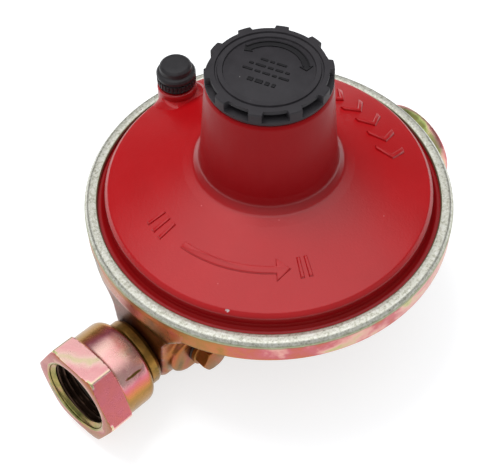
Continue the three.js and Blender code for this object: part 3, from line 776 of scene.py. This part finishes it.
def vent_boss():
    """Boss that rises out of the cover through a soft flare; its outer side runs down to the flange."""
    seg, rows = 96, []
    top = [(5.8, 54.2), (5.8, 55.6), (5.72, 56.1), (5.45, 56.38), (5.0, 56.4), (3.3, 56.4), (3.2, 56.2), (3.2, 50.6), (0, 50.6)]
    steps = 16
    grid = []
    for k in range(seg):
        a = TAU * k / seg
        col = []
        reach = 8.3
        while reach > 5.8 and math.hypot(VENT.x + reach * math.cos(a), VENT.y + reach * math.sin(a)) > 47.3:
            reach -= 0.05
        px, py = VENT.x + reach * math.cos(a), VENT.y + reach * math.sin(a)
        z_foot = cover_height(math.hypot(px, py)) - 0.12
        col.append((reach * 0.98, z_foot - 1.2))
        for i in range(steps + 1):
            t = i / steps
            z = z_foot + (54.0 - z_foot) * (t ** 1.15)
            u = min(1.0, (z - z_foot) / 3.4)
            r = 5.8 + (reach - 5.8) * (1 - math.sin(u * math.pi / 2)) ** 1.0
            if reach - 5.8 < 0.4:
                r = 5.8 + (reach - 5.8) * (1 - t)
            col.append((r, z))
        col += top
        grid.append([(VENT.x + r * math.cos(a), VENT.y + r * math.sin(a), z) for r, z in col])
    n = len(grid[0])
    verts = [p for col in grid for p in col]
    faces = []
    for k in range(seg):
        m = (k + 1) % seg
        for i in range(n - 1):
            faces.append((k * n + i, m * n + i, m * n + i + 1, k * n + i + 1))
    faces.append(tuple(k * n for k in range(seg)))
    o = mesh_object("cover_vent_boss", verts, faces, 45)
    bm = bmesh.new()
    bm.from_mesh(o.data)
    bmesh.ops.remove_doubles(bm, verts=bm.verts, dist=1e-7)
    bm.to_mesh(o.data)
    bm.free()
    shade(o.data, 45)
    return o


boss = vent_boss()
finish_piece(cover, ENAMEL, "regulator_body", "cover_red", "top_cover")
finish_piece(boss, ENAMEL, "regulator_body", "cover_red")


def cone_mark(name, outline, height=0.5, soft=0.28):
    """A raised cast mark: outline points are (radius, angle in degrees) on the cone, walls soft-sloped."""
    levels = [(-0.5, 0.0), (0.0, 0.0), (height * 0.55, soft * 0.35), (height * 0.9, soft * 0.75), (height, soft * 1.15)]
    pts = [(r * math.cos(math.radians(a)), r * math.sin(math.radians(a))) for r, a in outline]
    cx = sum(p[0] for p in pts) / len(pts)
    cy = sum(p[1] for p in pts) / len(pts)
    n = len(pts)
    area = sum(pts[i][0] * pts[(i + 1) % n][1] - pts[(i + 1) % n][0] * pts[i][1] for i in range(n))
    sign = 1 if area > 0 else -1
    rings = []
    for up, inset in levels:
        ring = []
        for i in range(n):
            a, b, c = Vector(pts[i - 1]), Vector(pts[i]), Vector(pts[(i + 1) % n])
            e1, e2 = (b - a).normalized(), (c - b).normalized()
            n1, n2 = Vector((-e1.y, e1.x)) * sign, Vector((-e2.y, e2.x)) * sign
            q = n1 + n2
            q = q / max(0.6, q.dot(n1)) if q.length > 1e-6 else n1
            p = b + q * inset
            ring.append((p.x, p.y, cover_height(p.length) + up))
        rings.append(ring)
    return loft(name, rings, 60)


def arc_bar(r0, r1, a0, a1, n=10):
    """A bar on the cone between two radii and two angles."""
    out = [(r0, a0 + (a1 - a0) * i / n) for i in range(n + 1)]
    out += [(r1, a1 + (a0 - a1) * i / n) for i in range(n + 1)]
    return out


marks = []
# generic marks only: a long curved flow arrow with plain bars beside it, and chevrons on the far side
mid = 34.2
arrow = [(mid - 1.0, 186 + 44 * i / 22) for i in range(23)] + [(mid - 2.9, 230), (mid, 236.5), (mid + 2.9, 230)] + [(mid + 1.0, 230 - 44 * i / 22) for i in range(23)]
marks.append(cone_mark("cover_mark_arrow", arrow))
for i, a in enumerate((166.5, 171.0, 175.5)):
    marks.append(cone_mark(f"cover_mark_bar_{i}", arc_bar(31.6, 37.0, a - 0.9, a + 0.9, 3)))
for i, a in enumerate((240.5, 244.0)):
    marks.append(cone_mark(f"cover_mark_end_{i}", arc_bar(31.6, 37.0, a - 0.9, a + 0.9, 3)))
for i, a in enumerate((12, 1, -10, -21, -32)):
    chev = [(30.4, a + 3.4), (34.6, a - 1.6), (38.8, a + 3.4), (38.8, a + 0.6), (34.6, a - 4.4), (30.4, a + 0.6)]
    marks.append(cone_mark(f"cover_mark_chevron_{i}", chev, 0.7))
for o in marks:
    finish_piece(o, ENAMEL, "regulator_body", "cover_red")


# ---------------------------------------------------------------- tower cap
def smooth(t):
    t = max(0.0, min(1.0, t))
    return t * t * (3 - 2 * t)


TEETH_AT = math.radians(34.4)


def cap_radius(r, w, t):
    """Teeth and notches on the cap's edge, cut between the flange and the top."""
    if r < 14.9 or w < CAP_BOTTOM - 0.01:
        return (r, w)
    pitch = TAU / 10
    d = abs((t - TEETH_AT + pitch / 2) % pitch - pitch / 2) * 15.6    # distance from a tooth's middle line, mm
    tooth = 1 - smooth((d - 1.55) / 0.45)
    if w > 89.75:
        low = 13.7 if w < 91.3 else min(r, 14.95)
        return (low + (r - low) * tooth, w)
    return (r, w)


SUNK = CAP_TOP - 0.34                      # the middle of the cap's top, where its marks stand
cap_profile = rounded([
    (0, SUNK), (10.95, SUNK), (11.12, SUNK - 0.12), (11.5, SUNK - 0.12), (11.68, CAP_TOP), (12.9, CAP_TOP), (13.08, CAP_TOP - 0.46),
    (13.5, CAP_TOP - 0.46), (13.68, CAP_TOP - 0.02), (14.6, CAP_TOP - 0.02),
], 1, closed=False)
edge = [(14.95, CAP_TOP - 0.04), (15.45, CAP_TOP - 0.05), (15.95, CAP_TOP - 0.07), (16.15, CAP_TOP - 0.13), (16.27, CAP_TOP - 0.27), (16.3, 91.6), (16.3, 91.31), (16.3, 91.29),
        (16.3, 90.7), (16.3, 90.2), (16.3, 89.95), (16.3, 89.78), (16.3, 89.6), (16.28, 89.0), (16.2, 88.72), (15.95, 88.52), (15.7, CAP_BOTTOM)]
under = [(12.5, CAP_BOTTOM), (12.5, 86.7), (11.3, 86.5), (11.3, 84.3), (12.5, 84.1), (12.5, 83.2), (12.3, 83), (10.4, 83), (10.4, 90.2), (0, 90.2)]
cap_angles = [TAU * k / 1200 for k in range(1200)]
cap = lathe("cap_shell", cap_profile + edge + under, 1200, radius=cap_radius, sharp=38)


def flat_mark(name, outline, z0, height, soft=0.1, drop=0.3):
    n = len(outline)
    area = sum(outline[i][0] * outline[(i + 1) % n][1] - outline[(i + 1) % n][0] * outline[i][1] for i in range(n))
    sign = 1 if area > 0 else -1
    rings = []
    for up, inset in ((-drop, 0.0), (height * 0.6, 0.0), (height * 0.92, soft * 0.35), (height, soft)):
        ring = []
        for i in range(n):
            a, b, c = Vector(outline[i - 1]), Vector(outline[i]), Vector(outline[(i + 1) % n])
            e1, e2 = (b - a).normalized(), (c - b).normalized()
            n1, n2 = Vector((-e1.y, e1.x)) * sign, Vector((-e2.y, e2.x)) * sign
            q = n1 + n2
            q = q / max(0.6, q.dot(n1)) if q.length > 1e-6 else n1
            p = b + q * inset
            ring.append((p.x, p.y, z0 + up))
        rings.append(ring)
    return loft(name, rings, 50)


def polar(r, a):
    return (r * math.cos(math.radians(a)), r * math.sin(math.radians(a)))


# a double-headed turning arrow, shown by its outline, with plain dashes below it
a0, a1 = -38.0, 80.0       # row-frame angles: round the back of the cap


def arrow_outline(grow):
    lo, hi = 8.3 - grow, 10.2 + grow
    mid_r = (lo + hi) / 2
    head = 0.75 + grow
    d = math.degrees(grow / mid_r)
    pts = [polar(hi, a0 + (a1 - a0) * i / 40) for i in range(41)]
    pts += [polar(hi + head, a1 - d), polar(mid_r, a1 + 10 + 2 * d), polar(lo - head, a1 - d)]
    pts += [polar(lo, a1 - (a1 - a0) * i / 40) for i in range(41)]
    pts += [polar(lo - head, a0 + d), polar(mid_r, a0 - 10 - 2 * d), polar(hi + head, a0 + d)]
    return pts


arrow_cap = flat_mark("cap_arrow", arrow_outline(0.0), SUNK, 0.3, 0.06)
arrow_hole = flat_mark("cap_arrow_inside", arrow_outline(-0.34), SUNK + 0.3, 0.6, 0.0, drop=0.22)
cut_by(arrow_cap, [arrow_hole])
shade(arrow_cap.data, 50)
bars = []
turn = math.radians(-43.5 - 24.0)


def cap_rect(name, x, y, w, h):
    rect = [(x, y - h), (x + w, y - h), (x + w, y + h), (x, y + h)]
    rect = [(u * math.cos(turn) - v * math.sin(turn), u * math.sin(turn) + v * math.cos(turn)) for u, v in rect]
    return flat_mark(name, rect, SUNK, 0.26, 0.05)


for j, (off, lo, hi, h) in enumerate(((2.6, -3.4, 4.6, 0.30), (0.4, -5.6, 5.4, 0.30), (-1.8, -6.4, 6.2, 0.30), (-5.0, -3.6, 3.8, 0.55))):
    x = lo
    i = 0
    while x < hi - 0.4:
        w = min((1.9, 1.1, 2.6, 1.4)[(i + j) % 4], hi - x)
        bars.append(cap_rect(f"cap_dash_{j}_{i}", x, off, w, h))
        x += w + 0.7
        i += 1
cap_ribs = join(bars, "cap_ribs")
shade(cap_ribs.data, 50)
finish_piece(cap, CAPMAT, "cap", "cap_plastic", "tower_cap")
finish_piece(arrow_cap, CAPDARK, "cap", "cap_plastic")
finish_piece(cap_ribs, CAPDARK, "cap", "cap_plastic")


# ---------------------------------------------------------------- union nut
HEX = 13.5


def hex_radius(t, power=170):
    s = 0.0
    for k in range(6):
        c = math.cos(t - (k + 0.5) * TAU / 6 - NUT_TURN)
        if c > 0:
            s += c ** power
    return HEX / s ** (1 / power)


# in the lathe's X mapping theta 0 points to +Y; a corner stands 1.2 degrees below horizontal there
NUT_TURN = math.radians(-1.2)
HEX_TABLE = {}


def nut_radius(r, w, t):
    if r > 13.25 and w < NUT_HEX_REAR + 0.35:
        key = round(t, 6)
        if key not in HEX_TABLE:
            HEX_TABLE[key] = hex_radius(t)
        h = HEX_TABLE[key]
        k = 0.12
        d = (h - r) / k
        if d > 8:
            return r
        if d < -8:
            return h
        return r - k * math.log(1 + math.exp(-d)) if d > 0 else h - k * math.log(1 + math.exp(d))
    if r < 10.95 and w < -63.05 and r > 9.0:
        pitch = 25.4 / 14
        phase = (w / pitch - t / TAU) % 1.0
        tri = 1 - abs(2 * phase - 1)
        tri = min(1.0, max(0.0, (tri - 0.1) / 0.8))
        lead = min(1.0, max(0.0, (w - (NUT_FRONT + 1.7)) / 1.0))
        tail = min(1.0, max(0.0, (-64.4 - w) / 0.6))
        grow = 1.15 * smooth(((NUT_FRONT + 1.9) - w) / 1.3)
        return r + 1.12 * tri * lead * tail + grow
    return r


nut_profile = [(11.35, NUT_FRONT + 0.02), (11.5, NUT_FRONT), (12.2, NUT_FRONT), (13.0, NUT_FRONT), (13.5, NUT_FRONT + 0.02), (14.2, NUT_FRONT + 0.1), (14.8, NUT_FRONT + 0.22),
               (15.2, NUT_FRONT + 0.4), (15.6, NUT_FRONT + 0.7), (16.4, NUT_FRONT + 1.3)]
nut_profile += [(16.4, NUT_FRONT + 1.3 + (7.05 - 1.3) * i / 8) for i in range(1, 9)]
H = NUT_HEX_REAR
nut_profile += [(15.7, H - 0.4), (15.1, H - 0.2), (14.4, H - 0.08), (13.8, H), (13.5, H + 0.08), (13.32, H + 0.3), (13.22, H + 0.65), (13.2, H + 1.2)]
nut_profile += [(13.2, -60), (13.2, NUT_REAR - 2.0), (13.12, NUT_REAR - 1.4), (12.88, NUT_REAR - 0.8), (12.5, NUT_REAR - 0.35), (11.9, NUT_REAR - 0.08), (11.2, NUT_REAR)]
nut_profile += [(8.1, NUT_REAR), (7.9, NUT_REAR - 0.2), (7.9, -62.3), (8.1, -62.4), (9.4, -62.6), (9.8, -63.0)]
nut_profile += [(9.8, -63.1 - (NUT_FRONT * -1 - 63.4) * i / 66) for i in range(67)]
nut = lathe("union_nut_body", nut_profile, 720, "X", (0, 0, AXIS_Z), nut_radius, sharp=42)
dark = nut.data
dark.materials.append(NUTMAT)
dark.materials.append(THREAD)
thread_faces = []
for p in dark.polygons:
    c = p.center / MM
    rr = math.hypot(c.y, c.z - AXIS_Z)
    thread_faces.append(1 if rr < 11.25 and c.x < -62.2 and c.x > NUT_FRONT + 1.6 else 0)
own = dark.attributes.new("own_mm", "FLOAT_VECTOR", "POINT")
for i, v in enumerate(dark.vertices):
    own.data[i].vector = (v.co.x / MM, v.co.y / MM, v.co.z / MM - AXIS_Z)
# tilt it onto the swivel axis that the record states
swivel = next(j for j in frame["record"]["behaviour"]["joints"] if j["name"] == "nut_swivel")
ax = Vector(swivel["axis"]).normalized()
tilt = (Matrix.Translation(Vector(swivel["pos_m"])) @ Matrix.Rotation(math.atan2(ax.y, ax.x), 4, "Z") @ Matrix.Rotation(math.asin(-ax.z), 4, "Y")
        @ Matrix.Translation(Vector((-NUT_DATUM * MM, 0, -AXIS_Z * MM))))
dark.transform(tilt)
dark.update()
finish_piece(nut, NUTMAT, "nut", "nut_chromate", "union_nut")
dark.materials.append(THREAD)
for p, m in zip(dark.polygons, thread_faces):
    p.material_index = m

# ------------------------------------------------------------- inlet nipple
nipple = lathe("nipple_turned", rounded([
    (4, -66, 0.3), (7.9, -66, 0.5), (8.5, -65.4, 0.3), (8.5, -63.8, 0.3), (7, -63.4), (7, -54.2, 0.4), (9.5, -53.9, 0.3), (10.3, -53.2, 0.4), (10.3, -51.1, 0.3), (9.7, -50.1, 0.2),
    (7, -50.1), (7, -44.2), (6.3, -43.5), (3.2, -43.5), (3.2, -58), (4, -59),
], 5), 160, "X", (0, 0, AXIS_Z), sharp=45)
finish_piece(nipple, NIPPLE, "regulator_body", "nipple_olive", "inlet_nipple")
gasket = lathe("inlet_gasket_ring", rounded([(4.4, -66.3, 0.2), (4.4, -68.2, 0.4), (8.3, -68.2, 0.5), (8.3, -66.3, 0.2)], 4), 96, "X", (0, 0, AXIS_Z))
finish_piece(gasket, GASKET, "regulator_body", "gasket_dark", "inlet_gasket")


# ------------------------------------------------------------ breather vent
def vent_radius(r, w, t):
    if 5.45 < r and 57.7 < w < 59.55:
        rib = 0.5 + 0.5 * math.cos(30 * t)
        return r - 0.34 * (1 - smooth(rib * 1.6))
    return r


vent = lathe("vent_cap_body", rounded([
    (0, VENT_TOP), (2.6, VENT_TOP, 0.3), (3.9, VENT_TOP - 0.12, 0.5), (4.62, VENT_TOP - 0.85, 0.5), (4.72, 62.0, 0.4), (5.35, 61.6, 0.3), (5.7, 61.0, 0.3), (5.7, 60.15, 0.2),
    (5.15, 59.95, 0.12), (5.15, 59.6, 0.12), (5.68, 59.45, 0.1)], 4, closed=False)
    + [(5.7, 59.3), (5.7, 58.8), (5.7, 58.3), (5.7, 57.9), (5.66, 57.66), (5.5, 57.6), (2.9, 57.6), (2.9, 52.3), (2.75, 52.2), (1.7, 52.2), (1.7, 61.6), (0, 61.6)],
    480, "Z", (VENT.x, VENT.y, 0), vent_radius, sharp=40)
finish_piece(vent, VENTMAT, "vent", "vent_plastic", "vent_cap")
vseal = lathe("vent_seal_ring", rounded([(3.3, 56.7, 0.1), (5.2, 56.7, 0.25), (5.2, 57.3, 0.25), (3.3, 57.3, 0.1)], 4), 96, "Z", (VENT.x, VENT.y, 0))
finish_piece(vseal, RUBBER, "vent_ring", "rubber_black", "vent_seal")


# ------------------------------------------------------------- test port plug
def plug_radius(r, w, t):
    if r > 3.7 and w > 15.08:
        s = sum(max(0.0, math.cos(t - (k + 0.5) * TAU / 6)) ** 90 for k in range(6))
        h = 3.8 / s ** (1 / 90)
        return min(r, h)
    return r


plug = lathe("test_plug_body", rounded([
    (0, 8.8), (2.5, 8.8, 0.3), (2.9, 9.2, 0.2), (2.9, 13.75), (4.8, 13.75, 0.15), (4.8, 14.95, 0.25)], 4, closed=False)
    + [(4.65, 15.04), (4.5, 15.2), (4.5, 16.0), (4.5, 17.0), (4.5, 17.9), (4.42, 18.3), (4.2, 18.58), (3.9, 18.73), (3.6, 18.8), (0, 18.8)],
    240, "Y", (PORT_X, 0, PORT_Z), plug_radius, sharp=40)
finish_piece(plug, PLUGMAT, "regulator_body", "nut_chromate", "test_plug")
washer = lathe("test_plug_washer_ring", rounded([(3.2, 12.95), (4.8, 12.95, 0.2), (4.8, 13.65, 0.2), (3.2, 13.65)], 3), 96, "Y", (PORT_X, 0, PORT_Z))
finish_piece(washer, GASKET, "regulator_body", "gasket_dark", "test_plug_washer")

# ------------------------------------------------- springs and the diaphragm
def copy_of(node, name, keep=None, cut_z=None):
    """A copy of a CAD node's mesh in the row frame. keep(x, y, z) in mm picks faces; cut_z = (z, side) halves it."""
    src = frame["nodes"][node]
    me = src.data.copy()
    me.transform(src.matrix_world)
    bm = bmesh.new()
    bm.from_mesh(me)
    if cut_z:
        geom = bm.verts[:] + bm.edges[:] + bm.faces[:]
        bmesh.ops.bisect_plane(bm, geom=geom, plane_co=(0, 0, cut_z[0] * MM), plane_no=(0, 0, 1), clear_outer=cut_z[1] < 0, clear_inner=cut_z[1] > 0)
        bmesh.ops.holes_fill(bm, edges=[e for e in bm.edges if e.is_boundary], sides=0)
    if keep:
        gone = [f for f in bm.faces if not keep(*(f.calc_center_median() / MM))]
        bmesh.ops.delete(bm, geom=gone, context="FACES")
    bm.to_mesh(me)
    bm.free()
    shade(me, 40)
    return link(name, me)


ms_lo, ms_hi = mm_box("main_spring")
ms_mid = (ms_lo.z + ms_hi.z) / 2
half = (ms_hi.z - ms_lo.z) / 2
ms_low = ms_lo.z + half / 2


def spring_slice(name, z0, z1):
    o = copy_of("main_spring", name, cut_z=(z0, 1) if z0 else (z1, -1))
    if z0 and z1:
        bm = bmesh.new()
        bm.from_mesh(o.data)
        bmesh.ops.bisect_plane(bm, geom=bm.verts[:] + bm.edges[:] + bm.faces[:], plane_co=(0, 0, z1 * MM), plane_no=(0, 0, 1), clear_outer=True)
        bmesh.ops.holes_fill(bm, edges=[e for e in bm.edges if e.is_boundary], sides=0)
        bm.to_mesh(o.data)
        bm.free()
        shade(o.data, 40)
    return o


# the lowest coils go with the stem; the coils above are cut into a lower and an upper half that both stay with the body
end_coils = spring_slice("main_spring_end", None, ms_low)
finish_piece(end_coils, WIRE, "stem", "spring_steel", "main_spring")
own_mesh(end_coils)
lower_coils = spring_slice("main_spring_lower", ms_low, ms_mid)
finish_piece(lower_coils, WIRE, "regulator_body", "spring_steel")
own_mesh(lower_coils)
upper_coils = copy_of("main_spring", "main_spring_upper", cut_z=(ms_mid, 1))
finish_piece(upper_coils, WIRE, "regulator_body", "spring_steel")
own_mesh(upper_coils)
relief_coils = copy_of("relief_spring", "relief_spring_coils")
finish_piece(relief_coils, WIRE, "stem", "spring_steel", "relief_spring")
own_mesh(relief_coils)
# the diaphragm's clamped edge stays with the body and its middle goes with the plates
CLAMP_R = 40.5
clamped = copy_of("diaphragm", "diaphragm_edge", keep=lambda x, y, z: math.hypot(x, y) >= CLAMP_R)
finish_piece(clamped, RUBBER, "regulator_body", "rubber_black", "diaphragm")
moving = copy_of("diaphragm", "diaphragm_middle", keep=lambda x, y, z: math.hypot(x, y) < CLAMP_R)
finish_piece(moving, RUBBER, "membrane", "rubber_black")

# --------------------------------------------- CAD nodes kept, new materials
for slot_name, material in {
    "rubber_black": RUBBER, "steel_zinc": STEEL, "spring_steel": WIRE, "brass_turned": BRASS, "gasket_dark": GASKET, "filter_mesh": MESH,
    "acetal_white": ACETAL, "body_chromate": CAST, "cover_red": ENAMEL, "cap_plastic": CAPMAT, "nut_chromate": PLUGMAT, "nipple_olive": NIPPLE, "vent_plastic": VENTMAT,
}.items():
    for sub in frame["record"]["subparts"]:
        if sub["material_slot"] == slot_name:
            o = frame["nodes"][sub["node"]]
            paint(o, material)
            o.data.shade_smooth()
            if hasattr(o.data, "set_sharp_from_angle"):
                o.data.set_sharp_from_angle(angle=math.radians(32))

# -------------------------------------------------------------------- stage
floor_me = bpy.data.meshes.new("floor")
S = 6.0
floor_me.from_pydata([(-S, -S, 0), (S, -S, 0), (S, S, 0), (-S, S, 0)], [], [(0, 1, 2, 3)])
floor = link("floor", floor_me)
floor.location.z = -0.0002
kf = Mat("floor_paper")
tone = kf.noise(0.004, 3, 0.5)
paper = kf.ramp(tone, [(0.3, (0.38, 0.395, 0.41)), (0.7, (0.40, 0.415, 0.43))])
kf.b.inputs["Emission Color"].default_value = (1, 1, 1, 1)
kf.b.inputs["Emission Strength"].default_value = 0.72
floor_me.materials.append(kf.set(base=paper, rough=0.9, spec=0.1, normal=kf.bump(kf.noise(0.8, 2, 0.5), 0.05, 0.02)))

YAW = math.radians(-43.5)        # the camera's frame is turned this much from the row frame
scene = bpy.context.scene
world = bpy.data.worlds.new("studio") if not scene.world else scene.world
scene.world = world
world.use_nodes = True
wt = world.node_tree
bg = wt.nodes.get("Background")


def wnode(kind, **props):
    node = wt.nodes.new("ShaderNode" + kind)
    for a, v in props.items():
        setattr(node, a, v)
    return node


def wrange(value, lo, hi, a, b):
    node = wnode("MapRange", interpolation_type="SMOOTHSTEP")
    wt.links.new(value, node.inputs["Value"])
    for name, v in (("From Min", lo), ("From Max", hi), ("To Min", a), ("To Max", b)):
        node.inputs[name].default_value = v
    return node.outputs[0]


def wmath(op, a, b):
    node = wnode("Math", operation=op)
    for s, v in zip(node.inputs, (a, b)):
        if isinstance(v, (int, float)):
            s.default_value = v
        else:
            wt.links.new(v, s)
    return node.outputs[0]


# a broad soft ceiling of light that fades toward a dim horizon, a little brighter on the viewer's side
wco = wnode("TexCoord")
wrot = wnode("VectorRotate", rotation_type="Z_AXIS")
wrot.inputs["Angle"].default_value = -YAW
wt.links.new(wco.outputs["Generated"], wrot.inputs["Vector"])
wsep = wnode("SeparateXYZ")
wt.links.new(wrot.outputs[0], wsep.inputs[0])
ceiling = wrange(wsep.outputs[2], 0.56, 0.84, 0.0, 1.22)
horizon = wrange(wsep.outputs[1], -0.6, 0.3, 0.34, 0.12)
level = wmath("ADD", ceiling, horizon)
path = wnode("LightPath")
seen = wnode("Mix", data_type="FLOAT")
wt.links.new(path.outputs["Is Camera Ray"], seen.inputs["Factor"])
wt.links.new(level, seen.inputs[2])
seen.inputs[3].default_value = 1.0
wt.links.new(seen.outputs[0], bg.inputs["Strength"])
bg.inputs["Color"].default_value = (0.965, 0.98, 1.0, 1)


def from_cam(v):
    return Matrix.Rotation(YAW, 3, "Z") @ Vector(v)


def softbox(name, at, size, power, look=(0, 0, 0.045), size_y=None, glossy=True, colour=(1, 1, 1)):
    l = bpy.data.lights.new(name, "AREA")
    l.shape = "RECTANGLE"
    l.size = size
    l.size_y = size_y or size
    l.energy = power
    l.color = colour
    o = bpy.data.objects.new(name, l)
    scene.collection.objects.link(o)
    o.location = from_cam(at)
    o.rotation_mode = "QUATERNION"
    o.rotation_quaternion = (Vector(look) - o.location).to_track_quat("-Z", "Y")
    o.visible_glossy = glossy
    return o


softbox("key", (-0.26, 0.17, 1.0), 0.42, 5.8, glossy=False, colour=(1.0, 0.985, 0.96))

# ------------------------------------------------------------------- camera
E = math.radians(49.54)
R_UNIT = LIP_R * MM
D = 6.304 * R_UNIT
basis = Matrix(((1, 0, 0), (0, math.sin(E), -math.cos(E)), (0, math.cos(E), math.sin(E))))   # columns: right, up, back
turn_m = Matrix.Rotation(math.radians(0.97), 3, "Y") @ Matrix.Rotation(math.radians(-2.61), 3, "X") @ Matrix.Rotation(math.radians(0.31), 3, "Z")
yaw_m = Matrix.Rotation(YAW, 3, "Z")
cam_data = bpy.data.cameras.new("camera")
cam = bpy.data.objects.new("camera", cam_data)
scene.collection.objects.link(cam)
cam_data.sensor_width = 36.0
cam_data.lens = 1077.0 / 500.0 * 36.0
cam_data.clip_start = 0.01
cam_data.clip_end = 50
cam.rotation_mode = "QUATERNION"
cam.rotation_quaternion = (yaw_m @ basis @ turn_m).to_quaternion()
cam.location = yaw_m @ Vector((0, -D * math.cos(E), D * math.sin(E))) + Vector((0, 0, LIP_Z * MM))
scene.camera = cam

scene.view_settings.view_transform = "Standard"
scene.view_settings.look = "None"
scene.view_settings.exposure = 0.0

import json
